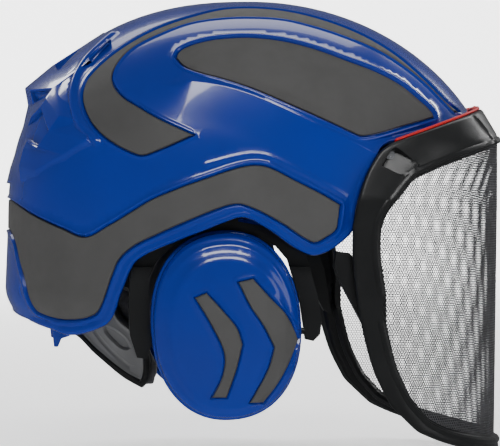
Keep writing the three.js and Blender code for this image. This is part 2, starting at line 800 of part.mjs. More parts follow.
addPair('muff_bracket', muffBracket(), blackPlastic);
addPair('muff_hinge_pin', hingePin(), pinSteel);
addPair('muff_hanger', muffHanger(), blackPlastic);
addPair('muff_yoke', muffYoke(), blackPlastic);
addPair('cup_shell', cupShell(), blueShell);
addPair('chevron_front', chevron(frontChevronLine), greyInlay);
addPair('chevron_rear', chevron(rearChevronLine), greyInlay);
addPair('cup_back_plate', backPlate(), blackPlastic);
addPair('cup_cushion', cupCushion(), padding);
addPair('foam_insert', foamInsert(), foam);

add('nape_cradle', napeCradle(), greyPlastic);
add('nape_pad', napePad(), padding);
add('knob_housing', knobHousing(), blackPlastic);
add('size_knob', sizeKnob(), blackPlastic);

export default helmet;
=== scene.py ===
import json
import math

import bmesh
import bpy
import numpy as np
from mathutils import Matrix, Vector
from mathutils.geometry import delaunay_2d_cdt


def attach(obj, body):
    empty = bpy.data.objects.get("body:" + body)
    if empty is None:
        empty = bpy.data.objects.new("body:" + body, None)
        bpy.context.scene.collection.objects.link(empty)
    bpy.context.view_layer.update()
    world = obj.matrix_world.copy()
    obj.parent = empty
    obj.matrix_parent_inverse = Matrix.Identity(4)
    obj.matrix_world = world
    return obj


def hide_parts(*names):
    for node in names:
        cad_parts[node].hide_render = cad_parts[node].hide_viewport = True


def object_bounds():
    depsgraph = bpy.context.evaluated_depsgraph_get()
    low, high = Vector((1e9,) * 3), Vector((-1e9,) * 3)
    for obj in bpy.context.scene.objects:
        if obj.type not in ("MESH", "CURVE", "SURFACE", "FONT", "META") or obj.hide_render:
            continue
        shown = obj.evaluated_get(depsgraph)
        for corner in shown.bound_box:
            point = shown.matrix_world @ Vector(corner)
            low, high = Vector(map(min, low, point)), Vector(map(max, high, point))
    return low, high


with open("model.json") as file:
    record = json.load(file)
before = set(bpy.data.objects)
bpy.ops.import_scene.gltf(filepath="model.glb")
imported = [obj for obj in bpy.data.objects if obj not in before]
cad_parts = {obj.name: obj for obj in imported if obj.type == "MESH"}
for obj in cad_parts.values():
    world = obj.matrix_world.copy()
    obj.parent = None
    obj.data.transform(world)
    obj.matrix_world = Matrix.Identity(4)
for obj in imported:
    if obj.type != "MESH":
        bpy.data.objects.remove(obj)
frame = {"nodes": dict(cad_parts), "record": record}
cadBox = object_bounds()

mm = 0.001
drawStep = 1.6  # between the points of a drawn line, in mm
sides = ("right", "left")
scene = bpy.context.scene
print("frame loaded:", len(frame["nodes"]), "nodes")


# camera, light and floor
studio = {
    "azimuth": -5.5, "elevation": 1.0, "distance": 1.6, "target": (0.01375, 0, 0),
    "lens": 184.3, "floorDrop": 0.004, "worldGrey": 0.13, "floorGlow": 0.8,
    "wallStart": 3.6, "wallCurve": 1.6, "wallHeight": 7,
}
lamps = {  # azimuth, elevation, distance, size and power
    "windowSoftbox": (4, 49, 1.5, (1.05, 0.32), 12), "topSoftbox": (175, 60, 1.6, (1.6, 0.7), 9),
    "browStrip": (128, 30, 1.6, (0.12, 0.9), 5), "frontFill": (62, 12, 2.2, (0.8, 1.2), 4),
    "hoodLamp": (-138, 37, 1.8, (0.45, 0.42), 5), "wallWash": (180, 30, 0.9, (6, 1), 420),
}


def lookFrom(azimuth, elevation):
    a = math.radians(azimuth)
    e = math.radians(elevation)
    return Vector((math.sin(a) * math.cos(e), -math.cos(a) * math.cos(e), math.sin(e)))


def makeCamera():
    data = bpy.data.cameras.new("camera")
    data.lens = studio["lens"]
    data.sensor_width = 36
    data.clip_start = 0.05
    data.clip_end = 40
    camera = bpy.data.objects.new("camera", data)
    scene.collection.objects.link(camera)
    back = lookFrom(studio["azimuth"], studio["elevation"])
    camera.location = Vector(studio["target"]) + back * studio["distance"]
    camera.rotation_mode = "QUATERNION"
    camera.rotation_quaternion = (-back).to_track_quat("-Z", "Y")
    scene.camera = camera


def areaLight(name, azimuth, elevation, distance, size, power):
    data = bpy.data.lights.new(name, "AREA")
    data.shape = "RECTANGLE"
    data.size, data.size_y = size
    data.energy = power
    lamp = bpy.data.objects.new(name, data)
    scene.collection.objects.link(lamp)
    back = lookFrom(azimuth, elevation)
    lamp.location = Vector(studio["target"]) + back * distance
    lamp.rotation_mode = "QUATERNION"
    lamp.rotation_quaternion = (-back).to_track_quat("-Z", "Y")
    return lamp


def makeStudio():
    makeCamera()
    made = {name: areaLight(name, *lamp) for name, lamp in lamps.items()}
    wall = made["wallWash"]  # stands above and faces the wall behind the object
    wall.location = (0.0, 2.6, 2.6)
    wall.rotation_quaternion = Vector((0, 2.4, -1.9)).to_track_quat("-Z", "Y")
    world = bpy.data.worlds.new("studio")
    world.use_nodes = True
    shade = world.node_tree.nodes["Background"]
    grey = studio["worldGrey"]
    shade.inputs[0].default_value = (grey, grey * 1.02, grey * 1.05, 1)
    shade.inputs[1].default_value = 1
    scene.world = world


def makeFloor():
    # a sweep: flat under the object, curving up into a wall behind it
    bottom = cadBox[0].z - studio["floorDrop"]
    bm = bmesh.new()
    start, curve = studio["wallStart"], studio["wallCurve"]
    section = [(-9.0, 0), (start, 0)]
    for i in range(1, 13):
        a = math.pi / 2 * i / 12
        section.append((start + curve * math.sin(a), curve - curve * math.cos(a)))
    section.append((start + curve, studio["wallHeight"]))
    row = [bm.verts.new((-10, y, bottom + z)) for y, z in section]
    edges = [bm.edges.new(pair) for pair in zip(row, row[1:])]
    grown = bmesh.ops.extrude_edge_only(bm, edges=edges)["geom"]
    moved = [g for g in grown if isinstance(g, bmesh.types.BMVert)]
    bmesh.ops.translate(bm, verts=moved, vec=(20, 0, 0))
    bmesh.ops.recalc_face_normals(bm, faces=bm.faces)
    for face in bm.faces:
        face.smooth = True
    floor = objectFrom(bm, "studioFloor")
    white = paint("studioWhite", (0.92, 0.92, 0.92), 0.9)
    for node in white.node_tree.nodes:
        if node.type == "BSDF_PRINCIPLED":
            node.inputs["Emission Color"].default_value = (1, 1, 1, 1)
            node.inputs["Emission Strength"].default_value = studio["floorGlow"]
    floor.data.materials.append(white)
    floor.visible_glossy = False  # reflections show the lamps and the grey room only


# a finish has a plain colour, and may drift in colour and roughness and have a grain or weave
def paint(name, colour, roughness, metal=0.0, coat=0.0, sheen=0.0, drift=0.0, driftScale=40,
          grain=0.0, grainScale=900, roughDrift=0.0, specular=0.5, weave=None):
    made = bpy.data.materials.new(name)
    made.use_nodes = True
    tree = made.node_tree
    shader = tree.nodes["Principled BSDF"]
    shader.inputs["Base Color"].default_value = (*colour, 1)
    shader.inputs["Roughness"].default_value = roughness
    shader.inputs["Metallic"].default_value = metal
    shader.inputs["Specular IOR Level"].default_value = specular
    shader.inputs["Coat Weight"].default_value = coat
    shader.inputs["Coat Roughness"].default_value = 0.05
    shader.inputs["Sheen Weight"].default_value = sheen
    coords = tree.nodes.new("ShaderNodeTexCoord")

    def noise(scale, detail):
        node = tree.nodes.new("ShaderNodeTexNoise")
        node.inputs["Scale"].default_value = scale
        node.inputs["Detail"].default_value = detail
        tree.links.new(coords.outputs["Object"], node.inputs["Vector"])
        return node

    def remap(source, low, high):
        node = tree.nodes.new("ShaderNodeMapRange")
        node.inputs["From Min"].default_value = 0.3
        node.inputs["From Max"].default_value = 0.7
        node.inputs["To Min"].default_value = low
        node.inputs["To Max"].default_value = high
        tree.links.new(source, node.inputs["Value"])
        return node.outputs["Result"]

    if drift:
        mix = tree.nodes.new("ShaderNodeMix")
        mix.data_type = "RGBA"
        low = [c * (1 - drift) for c in colour]
        high = [min(c * (1 + drift), 1) for c in colour]
        mix.inputs["A"].default_value = (*low, 1)
        mix.inputs["B"].default_value = (*high, 1)
        tree.links.new(remap(noise(driftScale, 4).outputs["Fac"], 0, 1), mix.inputs["Factor"])
        tree.links.new(mix.outputs["Result"], shader.inputs["Base Color"])
    if roughDrift:
        value = remap(noise(driftScale * 2.5, 3).outputs["Fac"], roughness - roughDrift,
                      roughness + roughDrift)
        tree.links.new(value, shader.inputs["Roughness"])
    if grain or weave:
        bump = tree.nodes.new("ShaderNodeBump")
        bump.inputs["Strength"].default_value = grain or weave["depth"]
        bump.inputs["Distance"].default_value = 0.0004
        if weave:
            cells = tree.nodes.new("ShaderNodeTexVoronoi")
            cells.inputs["Scale"].default_value = weave["scale"]
            cells.inputs["Randomness"].default_value = weave["random"]
            tree.links.new(coords.outputs["Object"], cells.inputs["Vector"])
            tree.links.new(cells.outputs["Distance"], bump.inputs["Height"])
        else:
            tree.links.new(noise(grainScale, 2).outputs["Fac"], bump.inputs["Height"])
        tree.links.new(bump.outputs["Normal"], shader.inputs["Normal"])
    return made


finishes = {
    "shell_blue": dict(colour=(0.0, 0.02, 0.26), roughness=0.22, coat=0.7, drift=0.08,
                       driftScale=9, roughDrift=0.03),
    "inlay_grey": dict(colour=(0.068, 0.067, 0.066), roughness=0.62, drift=0.06, driftScale=60,
                       roughDrift=0.05, grain=0.25, grainScale=2600, specular=0.35),
    "frame_black": dict(colour=(0.011, 0.0115, 0.012), roughness=0.33, specular=0.4,
                        drift=0.12, driftScale=50, roughDrift=0.05, grain=0.14, grainScale=2200),
    "mesh_steel": dict(colour=(0.2, 0.2, 0.21), roughness=0.4, metal=0.8, drift=0.2,
                       driftScale=160, roughDrift=0.08),
    "seal_red": dict(colour=(0.55, 0.001, 0.004), roughness=0.5, drift=0.08, driftScale=80,
                     roughDrift=0.05),
    "liner_dark": dict(colour=(0.05, 0.051, 0.054), roughness=0.7, drift=0.1, driftScale=70,
                       grain=0.35, grainScale=700),
    "webbing": dict(colour=(0.022, 0.022, 0.026), roughness=0.85, sheen=0.4, drift=0.15,
                    driftScale=300, weave=dict(scale=900, random=0.1, depth=0.6)),
    "padding": dict(colour=(0.03, 0.03, 0.034), roughness=0.92, sheen=0.5, drift=0.18,
                    driftScale=240, weave=dict(scale=420, random=0.0, depth=0.9)),
    "cushion_skin": dict(colour=(0.018, 0.018, 0.02), roughness=0.48, sheen=0.1, drift=0.12,
                         driftScale=90, weave=dict(scale=650, random=1.0, depth=0.35)),
    "foam": dict(colour=(0.045, 0.048, 0.06), roughness=1.0, drift=0.2, driftScale=500,
                 weave=dict(scale=800, random=1.0, depth=1.0)),
    "cradle_grey": dict(colour=(0.13, 0.132, 0.135), roughness=0.5, drift=0.06, driftScale=60,
                        roughDrift=0.05, grain=0.15, grainScale=1800),
    "pin_steel": dict(colour=(0.55, 0.56, 0.58), roughness=0.25, metal=1.0, drift=0.08,
                      driftScale=200, roughDrift=0.06),
}
coated = {}  # each finish is made once


def finish(slotName):
    if slotName not in coated:
        coated[slotName] = paint(slotName + "Finish", **finishes[slotName])
    return coated[slotName]


def bmeshOf(mesh):
    bm = bmesh.new()
    bm.from_mesh(mesh)
    return bm


def putBack(bm, mesh):
    bm.to_mesh(mesh)
    bm.free()


def objectFrom(bm, name):
    mesh = bpy.data.meshes.new(name)
    putBack(bm, mesh)
    made = bpy.data.objects.new(name, mesh)
    scene.collection.objects.link(made)
    return made


def markSharp(mesh, degrees=32):
    bm = bmeshOf(mesh)
    limit = math.radians(degrees)
    for edge in bm.edges:
        edge.smooth = not (edge.is_manifold and edge.calc_face_angle(0) > limit)
    for face in bm.faces:
        face.smooth = True
    putBack(bm, mesh)


def addPiece(piece, body, slotName, *nodes, sharp=32):
    piece.data.materials.clear()
    piece.data.materials.append(finish(slotName))
    if sharp:
        markSharp(piece.data, sharp)
    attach(piece, body)
    if nodes:
        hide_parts(*nodes)
    return piece


def solidify(piece, thickness, offset=-1.0):
    wall = piece.modifiers.new("wall", "SOLIDIFY")
    wall.thickness = thickness * mm
    wall.offset = offset
    wall.use_even_offset = False
    return wall


# drawn lines, in millimetres
# even points along a soft line that keeps its sharp corners
def smoothLine(points, step, closed=True, corner=50):
    pts = np.array(points, float)
    count = len(pts)
    ahead = np.roll(pts, -1, 0) - pts
    behind = pts - np.roll(pts, 1, 0)
    aheadUnit = ahead / np.linalg.norm(ahead, axis=1)[:, None]
    behindUnit = behind / np.linalg.norm(behind, axis=1)[:, None]
    turn = np.degrees(np.arccos(np.clip((aheadUnit * behindUnit).sum(1), -1, 1)))
    out = []
    for i in range(count if closed else count - 1):
        j = (i + 1) % count
        length = np.linalg.norm(ahead[i])
        ends = []
        for k in (i, j):
            isEnd = not closed and k in (0, count - 1)
            mean = aheadUnit[k] + behindUnit[k]
            isCorner = isEnd or turn[k] > corner
            ends.append(aheadUnit[i] if isCorner else mean / np.linalg.norm(mean))
        steps = max(int(math.ceil(length / step)), 1)
        for s in range(steps):
            t = s / steps
            h = (2 * t**3 - 3 * t**2 + 1, t**3 - 2 * t**2 + t, 3 * t**2 - 2 * t**3, t**3 - t**2)
            out.append(h[0] * pts[i] + h[1] * length * ends[0]
                       + h[2] * pts[j] + h[3] * length * ends[1])
    if not closed:
        out.append(pts[-1])
    return np.array(out)


def evenly(line, step):
    gaps = np.concatenate([[0], np.cumsum(np.hypot(*np.diff(line, axis=0).T))])
    even = np.linspace(0, gaps[-1], int(gaps[-1] / step) + 1)
    return np.stack([np.interp(even, gaps, line[:, 0]), np.interp(even, gaps, line[:, 1])], 1)


def normalsOf(line, closed):
    if closed:
        along = np.roll(line, -1, 0) - np.roll(line, 1, 0)
    else:
        along = np.gradient(line, axis=0)
    along /= np.maximum(np.linalg.norm(along, axis=1), 1e-9)[:, None]
    return np.stack([along[:, 1], -along[:, 0]], 1)


def clockwise(line):
    nxt = np.roll(line, -1, 0)
    return ((line[:, 0] * nxt[:, 1] - nxt[:, 0] * line[:, 1]).sum()) < 0


def pushed(line, distance, closed=True):
    sign = -1 if closed and clockwise(line) else 1
    return line + normalsOf(line, closed) * distance * sign


def inside(points, line):
    x, y = points[:, 0], points[:, 1]
    hit = np.zeros(len(points), bool)
    nxt = np.roll(line, -1, 0)
    for (ax, ay), (bx, by) in zip(line, nxt):
        if ay == by:
            continue
        crosses = (ay > y) != (by > y)
        hit ^= crosses & (x < (bx - ax) * (y - ay) / (by - ay) + ax)
    return hit


def distance(points, line, closed=True):
    start = line if closed else line[:-1]
    end = np.roll(line, -1, 0) if closed else line[1:]
    best = np.full(len(points), 1e9)
    for a, b in zip(start, end):
        d = b - a
        rel = points - a
        t = np.clip(rel @ d / max(d @ d, 1e-12), 0, 1)
        gap = rel - t[:, None] * d
        best = np.minimum(best, (gap * gap).sum(1))
    return np.sqrt(best)


def signed(points, line):
    away = distance(points, line)
    return np.where(inside(points, line), -away, away)


def ramp(value, marks):
    xs, ys = zip(*marks)
    return np.interp(value, xs, ys)


# a moulded sheet: its outline and features are drawn flat, then laid on a form
# borders are kept as edges; features are (line, closed, distances) that get extra points
def mouldedSheet(name, borders, keep, place, lift, grid, features=()):
    taken = {}
    points = []
    edges = []

    def near(p, room):
        cx, cy = int(p[0] // 2), int(p[1] // 2)
        for ix in range(cx - 2, cx + 3):
            for iy in range(cy - 2, cy + 3):
                for q in taken.get((ix, iy), ()):
                    if (q[0] - p[0]) ** 2 + (q[1] - p[1]) ** 2 < room * room:
                        return True
        return False

    def put(p):
        taken.setdefault((int(p[0] // 2), int(p[1] // 2)), []).append(p)
        points.append(Vector((float(p[0]), float(p[1]))))
        return len(points) - 1

    for line, closed in borders:
        ids = [put(p) for p in line]
        edges += list(zip(ids, ids[1:]))
        if closed:
            edges.append((ids[-1], ids[0]))
    for line, closed, distances in features:
        for d in distances:
            for p in pushed(line, d, closed):
                if not near(p, 0.45):
                    put(p)
    everyone = np.concatenate([line for line, _ in borders])
    low, high = everyone.min(0), everyone.max(0)
    rows = int((high[1] - low[1]) / (grid * 0.866)) + 1
    for j in range(rows):
        y = low[1] + j * grid * 0.866
        x = low[0] + (j % 2) * grid / 2
        while x < high[0]:
            if not near((x, y), grid * 0.62):
                put((x, y))
            x += grid
    verts, _, faces, *_ = delaunay_2d_cdt(points, edges, [], 0, 1e-4)
    flat = np.array([tuple(v) for v in verts])
    tris = np.array([tuple(f) for f in faces])
    centres = flat[tris].mean(1)
    tris = tris[keep(centres)]
    used = np.unique(tris)
    index = np.full(len(flat), -1)
    index[used] = np.arange(len(used))
    flat = flat[used]
    tris = index[tris]
    corner = flat[tris]
    ab = corner[:, 1] - corner[:, 0]
    ac = corner[:, 2] - corner[:, 0]
    turned = (ab[:, 0] * ac[:, 1] - ab[:, 1] * ac[:, 0]) < 0
    tris[turned] = tris[turned][:, ::-1]
    base, normal = laidOn(place, flat)
    where = (base + normal * lift(flat)[:, None]) * mm
    mesh = bpy.data.meshes.new(name)
    mesh.from_pydata(where.tolist(), [], tris.tolist())
    piece = bpy.data.objects.new(name, mesh)
    scene.collection.objects.link(piece)
    return piece


def laidOn(place, flat, reach=0.15):
    base = place(flat)
    du = place(flat + (reach, 0)) - place(flat - (reach, 0))
    dv = place(flat + (0, reach)) - place(flat - (0, reach))
    normal = np.cross(du, dv)
    normal /= np.maximum(np.linalg.norm(normal, axis=1), 1e-9)[:, None]
    return base, normal


# turns the right half into both halves, or into the left copy
def mirrorAcross(piece, join=True):
    bm = bmeshOf(piece.data)
    if join:
        everything = bm.verts[:] + bm.edges[:] + bm.faces[:]
        bmesh.ops.mirror(bm, geom=everything, merge_dist=0.05 * mm, axis="Y")
        bmesh.ops.remove_doubles(bm, verts=bm.verts, dist=0.01 * mm)
        bmesh.ops.recalc_face_normals(bm, faces=bm.faces)
    else:
        bmesh.ops.scale(bm, vec=(1, -1, 1), verts=bm.verts)
        bmesh.ops.reverse_faces(bm, faces=bm.faces)
    putBack(bm, piece.data)
    return piece


def leftCopy(piece, name):
    other = bpy.data.objects.new(name, piece.data.copy())
    scene.collection.objects.link(other)
    for modifier in piece.modifiers:
        if modifier.type == "SOLIDIFY":
            solidify(other, modifier.thickness / mm, modifier.offset)
    return mirrorAcross(other, join=False)


# the shell's form, the same as the frame's
dome = {
    "crown": 138, "crownX": 14, "front": 158, "rear": 151, "half": 112, "widestX": -15,
    "browHeight": 60, "browLean": 0.12, "roundness": 2.1, "tuckStart": -38, "tuck": 0.025,
    "deepestTuck": 9, "centreZ": 10, "flatRadius": 120,
}
edgeOn = math.pi / 2 * dome["flatRadius"]  # the centre plane in the flat drawing


def domeSection(z):
    v = np.clip(z / dome["crown"], 0, 1)
    below = np.minimum(z, 0)
    front = dome["crownX"] + dome["front"] * np.sqrt(1 - v * v)
    share = dome["browHeight"] / dome["crown"]
    browX = dome["crownX"] + dome["front"] * math.sqrt(1 - share * share)
    front = np.where(z < dome["browHeight"],
                     np.minimum(front, browX - (dome["browHeight"] - z) * dome["browLean"]), front)
    tuck = np.minimum(np.maximum(dome["tuckStart"] - z, 0) ** 2 * dome["tuck"], dome["deepestTuck"])
    rear = dome["crownX"] - dome["rear"] * (1 - v**2.35) ** (1 / 2.35) + 0.04 * below + tuck
    half = dome["half"] * (1 - v**2.3) ** (1 / 2.05) + 0.04 * below
    middle = dome["widestX"] + (dome["crownX"] - dome["widestX"]) * v * v
    return front, rear, half, middle


def insideDome(p):
    front, rear, half, middle = domeSection(p[:, 2])
    reach = np.where(p[:, 0] > middle, front - middle, middle - rear)
    across = np.abs(p[:, 1]) / np.maximum(half, 1e-6)
    along = np.abs(p[:, 0] - middle) / np.maximum(reach, 1e-6)
    k = dome["roundness"]
    return (p[:, 2] < dome["crown"]) & (across**k + along**k < 1)


# a flat point (mm from the right ear, round the form) to its place on the dome
def onDome(flat):
    r = np.hypot(flat[:, 0], flat[:, 1])
    angle = r / dome["flatRadius"]
    unit = flat / np.maximum(r, 1e-9)[:, None]
    sin = np.sin(angle)
    ray = np.stack([sin * unit[:, 0], -np.cos(angle), sin * unit[:, 1]], 1)
    origin = np.array([0, 0, dome["centreZ"]])
    near = np.full(len(flat), 20.0)
    far = np.full(len(flat), 260.0)
    for _ in range(36):
        mid = (near + far) / 2
        hit = insideDome(origin + ray * mid[:, None])
        near = np.where(hit, mid, near)
        far = np.where(hit, far, mid)
    out = origin + ray * near[:, None]
    out[np.abs(flat[:, 0] ** 2 + flat[:, 1] ** 2 - edgeOn**2) < 1e-3, 1] = 0
    return out


# side-view points (x, z) to the flat drawing of the right half
def toFlat(points):
    pts = np.array(points, float)
    front, rear, half, middle = domeSection(pts[:, 1])
    reach = np.where(pts[:, 0] > middle, front - middle, middle - rear)
    along = np.clip(np.abs(pts[:, 0] - middle) / np.maximum(reach, 1e-6), 0, 1)
    y = half * (1 - along ** dome["roundness"]) ** (1 / dome["roundness"])
    dz = pts[:, 1] - dome["centreZ"]
    r = np.hypot(pts[:, 0], dz)
    angle = np.arctan2(r, y)
    scale = dome["flatRadius"] * angle / np.maximum(r, 1e-9)
    return np.stack([pts[:, 0] * scale, dz * scale], 1)


# points of a line that end on the centre plane are drawn a little past it
def pastCentre(flat, which, stretch=1.06):
    flat = flat.copy()
    flat[which] *= edgeOn * stretch / np.linalg.norm(flat[which], axis=1)[:, None]
    return flat


def centreArc(step=2.5):
    count = int(2 * math.pi * edgeOn / step)
    angle = np.linspace(0, 2 * math.pi, count, endpoint=False)
    return np.stack([np.cos(angle), np.sin(angle)], 1) * edgeOn


# outlines on the shell, as side-view points (x, z)
rimLine = [
    (-139, -57), (-127, -57), (-113, -62), (-102, -65), (-84, -60), (-78, -56), (-71, -37.4),
    (-64.5, -22.5), (-60.8, -18.7), (-39, -8.5), (-25, -3), (-13, 1.7), (-1, 5.2), (13, -1.3),
    (32, -14), (41, -17.3), (49, -15.5), (61.5, -7.3), (66, -2), (67, 8), (72, 25), (78, 38),
    (84, 46.3), (100, 50.5), (130, 58), (157, 62), (175, 64),
]
sideInlayLine = [
    (-139, 15), (-135, 14.7), (-117, 3.7), (-105, -1.6), (-92, -6.2), (-80, -0.1), (-65, 9.2),
    (-55, 15.3), (-40, 21.8), (-20, 29), (-4, 34.2), (5, 35.8), (13, 35), (30, 27), (48, 18),
    (57.5, 12.5), (56.5, 4), (55, -2.4), (50, -6.2), (41.5, -9.9), (37, -8.2), (21.6, 1.7),
    (4, 10.7), (-3, 12.8), (-8, 12.4), (-17, 9.5), (-34, 2.6), (-51, -5), (-65, -12.3),
    (-72.6, -19.7), (-76.3, -28.3), (-84, -49.5), (-86, -52), (-104.6, -56.3), (-117, -53.6),
    (-120, -52), (-127, -35), (-130, -24), (-133.5, -9), (-136, -4), (-139, -4),
]
crescentInlayLine = [
    (139, 68.8), (131.6, 73.6), (116.5, 88), (97, 104.6), (78, 115.7), (49, 126.4), (30, 130.5),
    (10, 132), (-6, 131), (-26, 126), (-46, 119), (-60, 112), (-75, 102), (-84.5, 93.6), (-90, 87),
    (-93, 78), (-92, 69.4), (-87, 59), (-78, 50), (-63, 42), (-59, 41.2), (-49, 44.5),
    (-29, 53.3), (-49, 63), (-60.5, 70), (-70, 76.6), (-75, 84.5), (-75, 90.4), (-71, 98),
    (-63, 106), (-46, 115), (-27, 122), (-7, 125), (9, 125.6), (28, 124.7), (47, 120.4),
    (67, 114), (86.5, 106), (101, 97.5), (116, 86), (126, 76.3), (134, 68.5),
]
frontInlayLine = [
    (-38, 99.6), (-36, 103.5), (-30, 107), (-18.6, 110.4), (-4, 112.2), (7, 112.5), (26, 110.6),
    (45, 106), (64, 99.3), (84, 92), (99, 84.4), (109, 76.7), (119, 67.2), (119.6, 64.8),
    (102, 60), (76, 53.2), (70, 52.7), (65, 54.6), (51.5, 60.6), (28, 70.8), (4.6, 80.7),
    (-11, 86), (-25, 90.2), (-34, 94.6),
]
ridgeLine = [(-30, 84), (-13, 81.5), (4.4, 76.4), (28, 66.2), (51.5, 55.1), (78.7, 41.9)]
upperBead = [(-22, 36), (-5, 40.5), (5, 42), (13, 41), (31, 33), (49, 23.5), (60, 17.5)]
crescentTubeLine = [
    (-73, 116), (-81, 109), (-91, 98), (-97, 86), (-98.5, 75), (-95, 61), (-85.5, 49.5),
]

rimFlat = pastCentre(smoothLine(toFlat(rimLine), drawStep, closed=False), [0, -1])
closing = [rimFlat[-1] * 1.3, (400, 400), (-400, 400), rimFlat[0] * 1.3]
shellFlat = np.concatenate([rimFlat, closing])
sideFlat = smoothLine(pastCentre(toFlat(sideInlayLine), [0, -1]), drawStep)
crescentFlat = smoothLine(toFlat(crescentInlayLine), drawStep)
frontFlat = smoothLine(toFlat(frontInlayLine), drawStep)
ridgeFlat = smoothLine(toFlat(ridgeLine), drawStep, closed=False)
beadFlat = smoothLine(toFlat(upperBead), drawStep, closed=False)
tubeFlat = smoothLine(toFlat(crescentTubeLine), drawStep, closed=False)

relief = {
    "wall": 3.4, "grid": 3.0, "recess": -1.3, "rimLip": 0.8,
    "sideBead": (3.2, 0.8), "crescentBead": (2.4, 0.5), "frontBead": (3.4, 0.8),  # width, height
    "upperBead": (2.2, 0.6), "crescentTube": (3.6, 2.0),
    "ridge": 2.6, "ridgeAbove": 11, "ridgeBelow": 26,
    "wallFoot": 0.35,  # a recess rises to its bead over this width
}


# a wall up out of the recess, then a round bead that runs out at its width
def border(away, width, height, floor):
    foot = relief["wallFoot"]
    out = (away - foot) / (width - foot)
    crest = height * np.sin(np.pi * np.clip(out, 0, 1))
    rise = np.interp(away, [0, foot], [floor, 0.15])
    fade = np.clip(1 - out, 0, 1)
    return np.where(away <= 0, floor, np.where(away < foot, rise, crest + 0.15 * fade))


def shellLift(flat, recessed=True):
    lift = np.zeros(len(flat))
    rim = distance(flat, rimFlat, closed=False)
    lip = relief["rimLip"]
    lift += ramp(rim, [(0, -1.0), (0.5, -0.1), (1.2, lip * 0.8), (2, lip), (3, lip * 0.5),
                       (4, 0)])
    ridgeAway = distance(flat, ridgeFlat, closed=False)
    above = flat[:, 1] > np.interp(flat[:, 0], ridgeFlat[:, 0], ridgeFlat[:, 1])
    span = np.where(above, relief["ridgeAbove"], relief["ridgeBelow"])
    power = np.where(above, 1.2, 1.7)
    lift += relief["ridge"] * np.clip(1 - ridgeAway / span, 0, 1) ** power
    for line, key in ((beadFlat, "upperBead"), (tubeFlat, "crescentTube")):
        width, height = relief[key]
        away = np.clip(distance(flat, line, closed=False) / width, 0, 1)
        lift += height * (1 - away ** 2) ** 1.5
    if not recessed:
        return lift
    beaded = ((sideFlat, "sideBead"), (crescentFlat, "crescentBead"), (frontFlat, "frontBead"))
    for line, key in beaded:
        away = signed(flat, line)
        lift += border(away, *relief[key], relief["recess"])
    return lift


def makeShell():
    arc = centreArc()

    def keep(centres):
        return inside(centres, shellFlat) & (np.hypot(*centres.T) < edgeOn)

    beads = [0.35, 1.0, 1.7, 2.5, 3.4]
    features = [
        (rimFlat, False, [-0.5, -1.2, -2, -3, -4.2]),
        (sideFlat, True, beads), (frontFlat, True, beads),
        (crescentFlat, True, beads + [4.4, 5.5]),
        (ridgeFlat, False, [0, 0.6, -0.6, 1.6, -1.6]),
        (beadFlat, False, [0, 0.9, -0.9, 1.7, -1.7, 2.3, -2.3, 2.7, -2.7]),
        (tubeFlat, False, [0, 1, -1, 2, -2, 2.9, -2.9, 3.7, -3.7]),
    ]
    borders = [(rimFlat, False), (arc, True)]
    borders += [(line, True) for line in (sideFlat, crescentFlat, frontFlat)]
    shell = mouldedSheet("outerShell", borders, keep, onDome, shellLift, relief["grid"], features)
    mirrorAcross(shell)
    solidify(shell, relief["wall"])
    addPiece(shell, "helmet", "shell_blue", "outer_shell", sharp=38)
    print("shell:", len(shell.data.polygons), "faces")


inlaySizes = {"gap": 0.3, "sink": -0.15, "edge": 0.8, "thickness": 1.0, "grid": 3.2}


def makeInlay(name, line, bothHalves, nodes):
    outline = pushed(line, -inlaySizes["gap"])
    arc = centreArc()

    def keep(centres):
        return inside(centres, outline) & (np.hypot(*centres.T) < edgeOn)

    def lift(flat):
        away = np.minimum(-signed(flat, outline), 5)
        drop = np.interp(away, [0, 0.25, inlaySizes["edge"]], [-0.55, -0.2, 0])
        return shellLift(flat, recessed=False) + inlaySizes["sink"] + drop

    features = [(outline, True, [-0.25, -inlaySizes["edge"]])]
    borders = [(outline, True)] + ([(arc, True)] if bothHalves else [])
    pieceName = name if bothHalves else name + "Right"
    piece = mouldedSheet(pieceName, borders, keep, onDome, lift, inlaySizes["grid"], features)
    if bothHalves:
        mirrorAcross(piece)
        solidify(piece, inlaySizes["thickness"])
        addPiece(piece, "helmet", "inlay_grey", *nodes)
        return
    solidify(piece, inlaySizes["thickness"])
    other = leftCopy(piece, name + "Left")
    addPiece(piece, "helmet", "inlay_grey", nodes[0])
    addPiece(other, "helmet", "inlay_grey", nodes[1])


makeStudio()
makeFloor()
print("studio made")
makeShell()
makeInlay("sideInlay", sideFlat, True, ("side_inlay_right", "side_inlay_left"))
makeInlay("crescentInlay", crescentFlat, False, ("crescent_inlay_right", "crescent_inlay_left"))
makeInlay("frontInlay", frontFlat, False, ("front_inlay_right", "front_inlay_left"))
print("inlays made")


# a CAD part's copy with its edges rounded
def softened(nodeName, pieceName, body, slotName, width, segments, angle=28):
    bm = bmeshOf(frame["nodes"][nodeName].data)
    bmesh.ops.remove_doubles(bm, verts=bm.verts, dist=0.02 * mm)
    bmesh.ops.dissolve_limit(bm, angle_limit=math.radians(3), verts=bm.verts, edges=bm.edges)
    crisp = [e for e in bm.edges if e.is_manifold and e.calc_face_angle(0) > math.radians(angle)]
    bmesh.ops.bevel(bm, geom=crisp, offset=width * mm, segments=segments, profile=0.5,
                    affect="EDGES", clamp_overlap=True, material=-1)
    piece = objectFrom(bm, pieceName)
    return addPiece(piece, body, slotName, nodeName)


